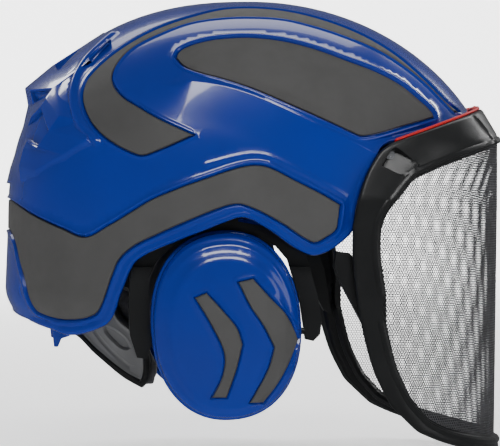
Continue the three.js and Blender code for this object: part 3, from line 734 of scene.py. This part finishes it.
# CAD part: its piece, body, slot, rounding in mm and segments
pairedParts = {
    "muff_yoke": ("muffYoke", "muff_yoke_{side}", "frame_black", 2.0, 4),
    "muff_bracket": ("muffBracket", "helmet", "frame_black", 0.6, 2),
    "muff_hanger": ("muffHanger", "muff_hanger_{side}", "frame_black", 0.5, 2),
    "visor_rail": ("visorRail", "helmet", "frame_black", 0.5, 2),
    "visor_slider": ("visorSlider", "visor_carriage", "frame_black", 0.6, 2),
    "rear_hook": ("rearHook", "helmet", "shell_blue", 0.5, 2),
    "visor_guide_arm": ("visorGuideArm", "visor", "frame_black", 1.0, 3),
    "cup_back_plate": ("cupBackPlate", "cup_{side}", "frame_black", 0.6, 2),
}
singleParts = {
    "strap_clip_front": ("strapClipFront", "helmet", "frame_black", 0.9, 3),
    "strap_clip_left": ("strapClipLeft", "helmet", "frame_black", 0.9, 3),
    "strap_clip_rear": ("strapClipRear", "helmet", "frame_black", 0.9, 3),
    "strap_clip_right": ("strapClipRight", "helmet", "frame_black", 0.9, 3),
    "headband": ("headbandStrip", "helmet", "frame_black", 0.5, 2),
    "crown_strap_long": ("crownStrapLong", "helmet", "webbing", 0.35, 2),
    "crown_strap_cross": ("crownStrapCross", "helmet", "webbing", 0.35, 2),
    "knob_housing": ("knobHousing", "nape_carriage", "frame_black", 1.2, 3),
    "size_knob": ("sizeKnob", "size_knob", "frame_black", 0.8, 3),
}


def makeRoundedParts():
    for node, (piece, body, slotName, width, segments) in pairedParts.items():
        for side in sides:
            softened(f"{node}_{side}", piece + side.title(), body.format(side=side), slotName,
                     width, segments)
    for node, part in singleParts.items():
        softened(node, *part)
    print("rounded parts made")


# ear cups
cup = {
    "x": -10, "z": -58, "halfWidth": 44, "halfHeight": 55.5, "roundness": 2.2, "lean": 4,
    "meanRadius": 50, "wall": 2.4, "plateau": (-0.5, -4.0, 33.5, 43.5), "plateauRise": 1.5,
    "chevronDepth": 1.1, "chevronGap": 0.25, "chevronSink": 0.12, "chevronWall": 0.8, "grid": 2.2,
}
cupProfile = [
    (0, 120.4), (0.3, 120.2), (0.55, 119.2), (0.74, 117.2), (0.86, 114.4), (0.94, 110.6),
    (0.972, 107.2), (0.975, 104.9), (0.955, 104.4), (0.955, 103.7), (0.99, 103.2), (1, 102.4),
    (1, 99), (0.99, 98.2),
]
frontChevronLine = [
    (-5, -32), (4, -30), (14, -41), (26, -54), (32, -66), (24, -84), (11, -103), (2, -102),
    (13, -81), (16, -70), (10, -58), (2, -46),
]
rearChevronLine = [
    (-30, -41), (-23, -38), (-12, -50), (-5, -59), (-2, -68), (-5, -81), (-11, -99), (-20, -99),
    (-14, -86), (-13, -74), (-20, -58),
]


def cupCurve():
    rows = np.array([(size * cup["meanRadius"], out) for size, out in cupProfile])
    dense = smoothLine(rows, 0.5, closed=False, corner=38)
    steps = np.hypot(*np.diff(dense, axis=0).T)
    return np.concatenate([[0], np.cumsum(steps)]), dense[:, 0] / cup["meanRadius"], dense[:, 1]


cupAlong, cupSizes, cupOut = cupCurve()


def rimRadius(direction):
    k = cup["roundness"]
    across = (np.abs(direction[:, 0]) / cup["halfWidth"]) ** k
    return (across + (np.abs(direction[:, 1]) / cup["halfHeight"]) ** k) ** (-1 / k)


def onCup(flat):
    radius = np.hypot(*flat.T)
    direction = flat / np.maximum(radius, 1e-9)[:, None]
    reach = rimRadius(direction)
    along = cup["meanRadius"] * radius / reach
    size = np.interp(along, cupAlong, cupSizes)
    a, b = (direction * (size * reach)[:, None]).T
    lean = math.radians(cup["lean"])
    x = cup["x"] + a * math.cos(lean) - b * math.sin(lean)
    z = cup["z"] + a * math.sin(lean) + b * math.cos(lean)
    return np.stack([x, -np.interp(along, cupAlong, cupOut), z], 1)


def toCup(points):
    pts = np.array(points, float) - (cup["x"], cup["z"])
    lean = math.radians(cup["lean"])
    a = pts[:, 0] * math.cos(lean) + pts[:, 1] * math.sin(lean)
    b = -pts[:, 0] * math.sin(lean) + pts[:, 1] * math.cos(lean)
    local = np.stack([a, b], 1)
    radius = np.hypot(a, b)
    reach = rimRadius(local / radius[:, None])
    rising = int(np.argmax(cupSizes > 0.97))
    along = np.interp(radius / reach, cupSizes[:rising], cupAlong[:rising])
    return local * (along * reach / cup["meanRadius"] / radius)[:, None]


frontChevronFlat = toCup(smoothLine(frontChevronLine, 1.2, corner=30))
rearChevronFlat = toCup(smoothLine(rearChevronLine, 1.2, corner=30))


def cupLift(flat, recessed=True):
    ox, oy, hw, hh = cup["plateau"]
    k = cup["roundness"]
    oval = (np.abs((flat[:, 0] - ox) / hw) ** k + np.abs((flat[:, 1] - oy) / hh) ** k) ** (1 / k)
    away = (oval - 1) * 38
    lift = cup["plateauRise"] * ramp(away, [(-4, 1), (-1, 1.12), (0.5, 0.9), (3.5, 0.1), (6, 0)])
    towards = np.arctan2(flat[:, 1], flat[:, 0]) - math.radians(68)
    facing = np.clip(np.cos(towards) * 1.6 - 0.6, 0, 1)
    for place, height in ((7.5, 0.55), (12.5, 0.5)):
        lift += height * facing * ramp(away - place, [(-2.2, 0), (0, 1), (0.9, 0.5), (2.4, 0)])
    if recessed:
        for line in (frontChevronFlat, rearChevronFlat):
            lift += border(signed(flat, line), 2.2, 0.35, -cup["chevronDepth"])
    return lift


def makeCups():
    angles = np.linspace(0, 2 * math.pi, 170, endpoint=False)
    around = np.stack([np.cos(angles), np.sin(angles)], 1)
    rim = around * (rimRadius(around) * cupAlong[-1] / cup["meanRadius"])[:, None]
    rings = []
    for along in np.linspace(cupAlong[-1] - 22, cupAlong[-1], 26)[:-1]:
        rings.append((around * (rimRadius(around) * along / cup["meanRadius"])[:, None], True, [0]))
    chevrons = (("chevronFront", "chevron_front", frontChevronFlat),
                ("chevronRear", "chevron_rear", rearChevronFlat))
    features = [(line, True, [0.35, 0.9, 1.5, 2.2]) for *_, line in chevrons] + rings
    borders = [(rim, True)] + [(line, True) for *_, line in chevrons]
    shell = mouldedSheet("cupShellRight", borders, lambda c: inside(c, rim), onCup, cupLift,
                         cup["grid"], features)
    solidify(shell, cup["wall"])
    other = leftCopy(shell, "cupShellLeft")
    addPiece(shell, "cup_right", "shell_blue", "cup_shell_right", sharp=40)
    addPiece(other, "cup_left", "shell_blue", "cup_shell_left", sharp=40)
    for name, node, line in chevrons:
        outline = pushed(line, -cup["chevronGap"])

        def chevronLift(flat):
            away = np.minimum(-signed(flat, outline), 5)
            drop = np.interp(away, [0, 0.25, 0.8], [-0.5, -0.15, 0])
            return cupLift(flat, recessed=False) + drop - cup["chevronSink"]

        piece = mouldedSheet(name + "Right", [(outline, True)], lambda c: inside(c, outline),
                             onCup, chevronLift, cup["grid"], [(outline, True, [-0.25, -0.8])])
        solidify(piece, cup["chevronWall"])
        other = leftCopy(piece, name + "Left")
        addPiece(piece, "cup_right", "inlay_grey", node + "_right")
        addPiece(other, "cup_left", "inlay_grey", node + "_left")
    print("ear cups made")


# visor: its form is drawn flat as (distance round from the front, height)
visor = {
    "backX": 61, "reach": 110, "half": 107, "roundness": 2.2, "around": 108, "slope": 0.6,
    "lean": 0.013, "turnZ": 50, "wall": 6.2, "meshInset": 3.0, "meshPitch": 1.75,
    "meshStrand": 0.36, "meshThickness": 0.3, "meshOverlap": 1.2, "meshSeam": -44, "meshRowsBelow": 64,
    "meshTop": 60, "sealHeight": 1.3, "sealSink": 0.9, "sealWall": 3.6, "grid": 3.0,
}
visorTopLine = [(66, 10), (68.5, 20), (74, 33), (81.5, 44.5), (88, 49), (154, 71), (158.9, 72.6)]
visorLowerLine = [
    (168.6, -140.2), (152, -138), (118, -128), (104, -122), (87, -106), (77, -86), (69, -57),
    (64, -21), (64, 0),
]
windowTopLine = [
    (85, -40), (81.5, -15), (82, -1), (85, 6), (95, 19), (103, 28), (121, 35), (158, 46),
    (171, 49),
]
windowLowerLine = [
    (168.8, -130.4), (150, -127), (124, -120), (112, -114), (101, -102), (92, -84), (85, -57),
]
browCornerFacet = [(82, 35.5), (88.5, 45.5), (91.5, 46.5), (106, 35.5), (96, 28.5)]


def visorPlan(z):
    reach = visor["reach"] - visor["slope"] * np.maximum(z - visor["turnZ"], 0)
    reach = reach - visor["lean"] * np.maximum(visor["turnZ"] - z, 0)
    half = visor["half"] - 8 * np.clip((z - 15) / 30, 0, 1) - 0.36 * np.maximum(z - 45, 0)
    return reach, half


def onVisor(flat, inset=0.0):
    angle = -flat[:, 0] / visor["around"]
    reach, half = visorPlan(flat[:, 1])
    k = 2 / visor["roundness"]
    cos, sin = np.cos(angle), np.sin(angle)
    x = visor["backX"] + (reach - inset) * np.sign(cos) * np.abs(cos) ** k
    y = -(half - inset) * np.sign(sin) * np.abs(sin) ** k
    return np.stack([x, y, flat[:, 1]], 1)


def toVisor(points, soften=3):
    dense = smoothLine(points, 1.5, closed=False, corner=15)
    reach, _ = visorPlan(dense[:, 1])
    share = np.clip((dense[:, 0] - visor["backX"]) / reach, 0, 1)
    around = -visor["around"] * np.arccos(share ** (visor["roundness"] / 2))
    flat = evenly(np.stack([around, dense[:, 1]], 1), drawStep)
    for _ in range(soften):
        flat[1:-1] = (flat[:-2] + 2 * flat[1:-1] + flat[2:]) / 4
    return flat


# one closed line, drawn a little past the centre plane at its front end
def joinedAcross(top, low):
    pastTop = top[-1] + (14, 0)
    pastLow = low[0] + (14, 0)
    return np.concatenate([top, [pastTop, pastLow], low])


visorOuter = joinedAcross(toVisor(visorTopLine), toVisor(visorLowerLine))
visorWindow = joinedAcross(toVisor(windowTopLine), toVisor(windowLowerLine))
facetFlat = toVisor(browCornerFacet + browCornerFacet[:1], 0)[:-1]
facetFlat = smoothLine(facetFlat, drawStep, corner=15)
browRidgeFlat = toVisor([(146, 66), (153, 58), (160, 50)], 0)
facetSlope = {"along": np.array((-0.8, 0.6)), "fall": 0.3, "rise": 1.1, "floor": 5}


def visorLift(flat):
    window = distance(flat, visorWindow)
    outer = distance(flat, visorOuter)
    lift = ramp(window, [(0, -3.2), (0.5, -2.9), (1.2, -2.6), (1.5, -1.2), (2.2, 0.1),
                         (3.4, 0.7), (4.8, 0.5), (5.8, -0.3), (6.4, -0.2), (8, 0)])
    lift += ramp(outer, [(0, -1.6), (0.6, -0.6), (1.4, -0.12), (2.2, 0)])
    facet = np.maximum(-signed(flat, facetFlat), 0)
    start = facetFlat[np.argmin(facetFlat @ facetSlope["along"])]
    fall = (flat - start) @ facetSlope["along"] * facetSlope["fall"]
    lift += np.clip(facet / 0.8, 0, 1) * np.maximum(facetSlope["rise"] - fall, -facetSlope["floor"])
    ridge = distance(flat, browRidgeFlat, closed=False)
    lift += 0.9 * np.clip(1 - ridge / 3.2, 0, 1)
    return lift


def makeVisorFrame():
    centre = np.stack([np.zeros(92), np.linspace(-145, 78, 92)], 1)

    def keep(centres):
        return inside(centres, visorOuter) & ~inside(centres, visorWindow) & (centres[:, 0] < 0)

    features = [
        (visorWindow, True, [0.5, 1.2, 1.5, 2.2, 3.4, 4.8, 5.8, 6.4, 8]),
        (visorOuter, True, [-0.6, -1.4, -2.2]), (facetFlat, True, [0, -0.8]),
        (browRidgeFlat, False, [0, 1.6, -1.6, 3.2, -3.2]),
    ]
    borders = [(visorOuter, True), (visorWindow, True), (centre, False)]
    rim = mouldedSheet("visorFrame", borders, keep, onVisor, visorLift, visor["grid"], features)
    mirrorAcross(rim)
    solidify(rim, visor["wall"])
    addPiece(rim, "visor", "frame_black", "visor_frame", sharp=34)
    top = toVisor([(92, 50.6), (154, 71.3), (158.8, 72.9)])
    seal = np.concatenate([top, [top[-1] + (14, 0), top[-1] + (14, visor["sealHeight"])],
                           (top + (0, visor["sealHeight"]))[::-1]])
    strip = mouldedSheet("browSeal", [(seal, True), (centre, False)],
                         lambda c: inside(c, seal) & (c[:, 0] < 0), onVisor,
                         lambda flat: np.full(len(flat), -visor["sealSink"]), visor["grid"])
    mirrorAcross(strip)
    solidify(strip, visor["sealWall"])
    addPiece(strip, "visor", "seal_red", "brow_seal")
    print("visor frame:", len(rim.data.polygons), "faces")


# a sheet of hexagons, each with its middle cut out, bent round the visor
def makeVisorMesh():
    pitch = visor["meshPitch"]
    rowStep = pitch * 0.866
    reach = pushed(visorWindow, visor["meshOverlap"])
    seam = visor["meshSeam"]
    foot = seam - visor["meshRowsBelow"] * rowStep
    for part, low, high in (("Lower", foot, seam), ("Upper", seam, visor["meshTop"])):
        bm = bmesh.new()
        bmesh.ops.create_circle(bm, cap_ends=True, segments=6, radius=pitch / math.sqrt(3))
        columns = int(172 / pitch)
        rows = int((high - low) / rowStep) + 1
        copyAlong(bm, columns, Vector((-pitch, 0, 0)))
        rowCopies(bm, rows, pitch, rowStep)
        bmesh.ops.translate(bm, verts=bm.verts, vec=(-pitch / 2, low, 0))
        centres = np.array([f.calc_center_median()[:2] for f in bm.faces])
        x, y = centres.T
        kept = inside(centres, reach) & (x < 0) & (y < high - rowStep * 0.01)
        unwanted = [f for f, keep in zip(bm.faces[:], kept) if not keep]
        bmesh.ops.delete(bm, geom=unwanted, context="FACES")
        bmesh.ops.remove_doubles(bm, verts=bm.verts, dist=pitch * 0.1)
        holes = bm.faces[:]
        bmesh.ops.inset_individual(bm, faces=holes, thickness=visor["meshStrand"] / 2,
                                   use_even_offset=True)
        bmesh.ops.delete(bm, geom=holes, context="FACES")
        mesh = bpy.data.meshes.new("visorMesh" + part)
        putBack(bm, mesh)
        flat = np.array([v.co[:2] for v in mesh.vertices])
        flat[:, 0] = np.minimum(flat[:, 0], 0)
        place = onVisor(flat, visor["meshInset"]) * mm
        mesh.vertices.foreach_set("co", place.ravel())
        right = bpy.data.objects.new("visorMesh" + part + "Right", mesh)
        scene.collection.objects.link(right)
        solidify(right, visor["meshThickness"], 0)
        left = leftCopy(right, "visorMesh" + part + "Left")
        for piece in (right, left):
            addPiece(piece, "visor", "mesh_steel", sharp=None)
        if part == "Lower":
            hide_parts("visor_mesh")
        print("visor mesh", part, len(mesh.polygons), "strand faces a side")


def copyAlong(bm, count, step):
    made = 1
    while made < count:
        geom = bm.verts[:] + bm.edges[:] + bm.faces[:]
        fresh = bmesh.ops.duplicate(bm, geom=geom)["geom"]
        verts = [g for g in fresh if isinstance(g, bmesh.types.BMVert)]
        bmesh.ops.translate(bm, verts=verts, vec=step * made)
        made *= 2


def rowCopies(bm, rows, pitch, rowStep):
    geom = bm.verts[:] + bm.edges[:] + bm.faces[:]
    fresh = bmesh.ops.duplicate(bm, geom=geom)["geom"]
    verts = [g for g in fresh if isinstance(g, bmesh.types.BMVert)]
    bmesh.ops.translate(bm, verts=verts, vec=(pitch / 2, rowStep, 0))
    copyAlong(bm, (rows + 1) // 2, Vector((0, rowStep * 2, 0)))


# nape cradle
nape = {"centreX": -40, "reach": 65, "half": 62, "roundness": 2.4, "around": 67, "wall": 2.8,
        "edgeWidth": 4.2, "edgeWall": 1.2, "lineStep": 1.8, "grid": 3.0, "edgeGrid": 2.4}
napeLine = [
    (-105, -66.5), (-97, -67), (-85, -78), (-68, -92), (-57, -98), (-53, -93), (-53, -75),
    (-60, -62), (-70, -52), (-72, -30), (-66, 2), (-82, 2), (-88, -20), (-94, -24), (-105, -24),
]
napeGroove = [(-87, -62), (-80, -71), (-72, -79), (-65, -85)]
napeSlot = [
    (-79, -61), (-73, -63.5), (-66, -70), (-64.5, -74), (-68, -74), (-74, -69.5), (-79, -64),
]


def onNape(flat):
    angle = flat[:, 0] / nape["around"]
    k = 2 / nape["roundness"]
    cos, sin = np.cos(angle), np.sin(angle)
    x = nape["centreX"] - nape["reach"] * np.abs(cos) ** k
    y = -nape["half"] * np.sign(sin) * np.abs(sin) ** k
    return np.stack([x, y, flat[:, 1]], 1)


def toNape(points):
    dense = smoothLine(points, 1.5, closed=False, corner=40)
    share = np.clip((nape["centreX"] - dense[:, 0]) / nape["reach"], 0, 1)
    around = nape["around"] * np.arccos(share ** (nape["roundness"] / 2))
    return evenly(np.stack([around, dense[:, 1]], 1), nape["lineStep"])


def makeNapeCradle():
    outline = toNape(napeLine)
    outline = np.concatenate([outline, [(-12, outline[-1][1]), (-12, outline[0][1])]])
    groove = toNape(napeGroove)
    slot = toNape(napeSlot + napeSlot[:1])[:-1]
    centre = np.stack([np.zeros(30), np.linspace(-75, -15, 30)], 1)

    def lift(flat):
        edge = distance(flat, outline)
        value = ramp(edge, [(0, -1.2), (0.8, 0.2), (2, 0.8), (4.6, 0.8), (5.6, 0.1), (6.2, 0)])
        value -= 1.0 * np.clip(1 - (distance(flat, groove, False) / 1.6) ** 2, 0, 1)
        return value + ramp(signed(flat, slot), [(-1.5, -1.6), (-0.5, -1.5), (0.2, 0),
                                                 (1.2, 0.3), (2.2, 0)])

    features = [
        (outline, True, [-0.8, -2, -4.6, -5.6, -6.2]), (groove, False, [0, 0.8, -0.8, 1.6, -1.6]),
        (slot, True, [-0.5, 0.2, 1.2, 2.2]),
    ]
    borders = [(outline, True), (slot, True), (centre, False)]
    cradle = mouldedSheet("napeCradle", borders, lambda c: inside(c, outline) & (c[:, 0] > 0),
                          onNape, lift, nape["grid"], features)
    mirrorAcross(cradle)
    solidify(cradle, nape["wall"])
    addPiece(cradle, "nape_carriage", "cradle_grey", "nape_cradle", sharp=40)
    inner = pushed(outline, -nape["edgeWidth"])

    def edgeLift(flat):
        away = signed(flat, outline)
        return lift(flat) + ramp(away, [(-4.2, 0.1), (-3.2, 0.9), (-0.8, 0.9), (0, 0.1)])

    edge = mouldedSheet("napeEdge", [(outline, True), (inner, True), (centre, False)],
                        lambda c: inside(c, outline) & ~inside(c, inner) & (c[:, 0] > 0), onNape,
                        edgeLift, nape["edgeGrid"], [(outline, True, [-0.8, -1.6, -2.4, -3.2])])
    mirrorAcross(edge)
    solidify(edge, nape["edgeWall"])
    addPiece(edge, "nape_carriage", "frame_black", sharp=40)
    print("nape cradle made")


# padded pieces, blown up a little by a cloth simulation
pads = {  # voxel, shrink and cap are in mm; cap is the furthest that the air may push
    "crown_pad": dict(piece="crownPad", body="helmet", slot="padding", voxel=3, shrink=0.8,
                      cap=3, fill=0.6),
    "sweatband": dict(piece="sweatbandPad", body="helmet", slot="padding", voxel=2, shrink=0.7,
                      cap=2, fill=0.5),
    "nape_pad": dict(piece="napePad", body="nape_carriage", slot="padding", voxel=2, shrink=0.8,
                     cap=2.5, fill=0.5),
    "cup_cushion_right": dict(piece="cupCushionRight", body="cup_right", slot="cushion_skin",
                              voxel=4, shrink=2.2, cap=5, fill=0.8),
    "cup_cushion_left": dict(piece="cupCushionLeft", body="cup_left", slot="cushion_skin",
                             voxel=4, shrink=2.2, cap=5, fill=0.8),
}
air = {"pressure": 4, "frames": 20}


def finalMesh(piece):
    view = bpy.context.evaluated_depsgraph_get()
    mesh = bpy.data.meshes.new_from_object(piece.evaluated_get(view))
    piece.modifiers.clear()
    piece.data = mesh


def blownUp(piece, cap):
    before = np.array([v.co[:] for v in piece.data.vertices])
    cloth = piece.modifiers.new("air", "CLOTH")
    cloth.settings.use_pressure = True
    cloth.settings.uniform_pressure_force = air["pressure"]
    cloth.settings.effector_weights.gravity = 0
    for step in range(1, air["frames"] + 1):
        scene.frame_set(step)
    finalMesh(piece)
    scene.frame_set(1)
    after = np.array([v.co[:] for v in piece.data.vertices])
    move = after - before
    length = np.linalg.norm(move, axis=1)
    share = np.minimum(1, cap * mm / np.maximum(length, 1e-9))
    piece.data.vertices.foreach_set("co", (before + move * share[:, None]).ravel())


def makePads():
    for node, pad in pads.items():
        bm = bmeshOf(frame["nodes"][node].data)
        bmesh.ops.remove_doubles(bm, verts=bm.verts, dist=0.02 * mm)
        bm.normal_update()
        for vert in bm.verts:
            vert.co -= vert.normal * pad["shrink"] * mm
        piece = objectFrom(bm, pad["piece"])
        remesh = piece.modifiers.new("even", "REMESH")
        remesh.mode = "VOXEL"
        remesh.voxel_size = pad["voxel"] * mm
        finalMesh(piece)
        blownUp(piece, pad["cap"])
        bm = bmeshOf(piece.data)
        for _ in range(2):
            bmesh.ops.smooth_vert(bm, verts=bm.verts, factor=0.5, use_axis_x=True, use_axis_y=True,
                                  use_axis_z=True)
        putBack(bm, piece.data)
        finer = piece.modifiers.new("finer", "SUBSURF")
        finer.levels = finer.render_levels = 1
        addPiece(piece, pad["body"], pad["slot"], node, sharp=None)
        for face in piece.data.polygons:
            face.use_smooth = True
    print("pads made")


# rear cover: a faceted hood over the vents
hood = {"edge": 0.7, "wall": 1.8, "ventDepth": 4.5, "ventRim": 2.2, "cellDepth": 2.6,
        "cellRim": 1.1, "pocketSlope": 0.3}
hoodPoints = {
    "spineFront": (-78, 0, 118.4), "spineRear": (-110, 0, 97.5), "peak": (-126.5, 0, 83.8),
    "stripFront": (-76.4, -45, 111), "ventFront": (-88, -36, 104), "ventRear": (-108, -22, 92.5),
    "stripLow": (-88, -49, 99), "stripRear": (-110, -36, 82.6), "stripPeak": (-123.4, -12, 82.6),
    "underPeak": (-124.6, 0, 73), "underStrip": (-121.5, -13, 73), "slopeLow": (-128.8, 0, 55),
    "slopeSide": (-127.6, -12, 52), "postTop": (-131, 0, 48), "postSide": (-129.5, -15, 48),
    "postLow": (-135.4, 0, 35), "postLowSide": (-134, -16, 35), "footLow": (-137.8, 0, 25),
    "footSide": (-136.4, -17, 25.5),
}
hoodSeats = {  # side-view place, then height over the shell
    "seatTop": (-74, 114, -0.8), "seatHigh": (-84, 104, -0.8), "seatShoulder": (-91.5, 93, -0.8),
    "seatMiddle": (-94, 77, -0.8), "seatLow": (-91, 62, -0.8), "seatFoot": (-86, 46.5, -0.8),
    "seatGroove": (-103, 37, -0.8), "seatRear": (-120, 27.5, -0.8), "footEdge": (-129, 25, 0.5),
    "underRear": (-111.5, 74.5, 3.2), "crease": (-104.5, 64, 3), "cellTop": (-114.5, 70.5, 3),
    "cellUpper": (-121, 64, 2.6), "cellLower": (-123.5, 50, 2.4), "cellFoot": (-117.5, 46, 2.6),
    "cellSide": (-110.5, 55.5, 2.9), "postEdge": (-125.5, 45, 2.6), "postLowEdge": (-128, 35, 2.6),
    "lipRear": (-119, 32.5, 2.4), "lipGroove": (-103.5, 41.5, 2.6), "lipFoot": (-89.5, 50, 2.6),
}
hoodFaces = [
    ("spineFront", "ventFront", "stripFront"), ("spineFront", "spineRear", "ventRear", "ventFront"),
    ("spineRear", "peak", "stripPeak", "ventRear"), ("stripFront", "ventFront", "stripLow"),
    ("ventFront", "ventRear", "stripRear", "stripLow"), ("ventRear", "stripPeak", "stripRear"),
    ("peak", "underPeak", "underStrip", "stripPeak"),
    ("stripPeak", "underStrip", "underRear", "stripRear"),
    ("underPeak", "slopeLow", "slopeSide", "cellUpper", "underStrip"),
    ("underStrip", "cellUpper", "cellTop", "underRear"),
    ("cellUpper", "slopeSide", "cellLower", "cellFoot", "cellSide", "cellTop"),
    ("slopeLow", "postTop", "postSide", "slopeSide"),
    ("slopeSide", "postSide", "postEdge", "cellLower"),
    ("postTop", "postLow", "postLowSide", "postSide"),
    ("postSide", "postLowSide", "postLowEdge", "postEdge"),
    ("postLow", "footLow", "footSide", "postLowSide"),
    ("postLowSide", "footSide", "footEdge", "postLowEdge"),
    ("stripFront", "seatTop", "spineFront"), ("stripFront", "stripLow", "seatHigh", "seatTop"),
    ("stripLow", "stripRear", "seatShoulder", "seatHigh"),
    ("stripRear", "crease", "seatMiddle", "seatShoulder"),
    ("stripRear", "underRear", "cellTop", "cellSide", "crease"),
    ("crease", "cellSide", "lipFoot", "seatLow", "seatMiddle"),
    ("cellSide", "cellFoot", "lipGroove", "lipFoot"),
    ("cellFoot", "cellLower", "postEdge", "lipGroove"),
    ("postEdge", "postLowEdge", "lipRear", "lipGroove"), ("lipFoot", "seatFoot", "seatLow"),
    ("lipFoot", "lipGroove", "seatGroove", "seatFoot"),
    ("lipGroove", "lipRear", "seatRear", "seatGroove"),
    ("lipRear", "postLowEdge", "footEdge", "seatRear"),
]
pockets = {  # which faces of hoodFaces are sunk, and by which sizes
    1: ("ventRim", "ventDepth"), 7: ("cellRim", "cellDepth"),
    10: ("cellRim", "cellDepth"),
}


def makeRearCover():
    bm = bmesh.new()
    verts = {name: bm.verts.new(Vector(p) * mm) for name, p in hoodPoints.items()}
    seats = np.array(list(hoodSeats.values()), float)
    base, normal = laidOn(onDome, toFlat(seats[:, :2]))
    for name, p in zip(hoodSeats, base + normal * seats[:, 2:]):
        verts[name] = bm.verts.new(Vector(p) * mm)
    faces = [bm.faces.new([verts[name] for name in names]) for names in hoodFaces]
    bmesh.ops.recalc_face_normals(bm, faces=faces)
    outward = faces[4].normal.dot(Vector((-0.5, -0.5, 0.7))) > 0
    if not outward:
        bmesh.ops.reverse_faces(bm, faces=faces)
    for which, (rim, depth) in pockets.items():
        bmesh.ops.inset_individual(bm, faces=[faces[which]], thickness=hood[rim] * mm,
                                   use_even_offset=True)
        bmesh.ops.inset_individual(bm, faces=[faces[which]], thickness=hood["pocketSlope"] * mm,
                                   depth=-hood[depth] * mm, use_even_offset=True)
    bmesh.ops.triangulate(bm, faces=[f for f in bm.faces if len(f.verts) > 4])
    ghost = bm.verts[:] + bm.edges[:] + bm.faces[:]
    bmesh.ops.mirror(bm, geom=ghost, matrix=Matrix.Identity(4), merge_dist=0.05 * mm, axis="Y")
    bmesh.ops.recalc_face_normals(bm, faces=bm.faces)
    crisp = [e for e in bm.edges if len(e.link_faces) == 2 and e.calc_face_angle(0) > 0.3]
    bmesh.ops.bevel(bm, geom=crisp, offset=hood["edge"] * mm, segments=2, profile=0.5,
                    affect="EDGES", clamp_overlap=True, material=-1)
    cover = objectFrom(bm, "rearCover")
    solidify(cover, hood["wall"])
    addPiece(cover, "helmet", "shell_blue", "rear_vent_cover", sharp=28)
    print("rear cover made")


makeRearCover()
makeCups()
makeVisorFrame()
makeVisorMesh()
makeNapeCradle()
makeRoundedParts()
makePads()


# CAD parts whose shape stands get their finish
slotOf = {s["node"]: s["material_slot"] for s in frame["record"]["subparts"]}
for nodeName, node in frame["nodes"].items():
    if not node.hide_render:
        node.data.materials.clear()
        node.data.materials.append(finish(slotOf[nodeName]))
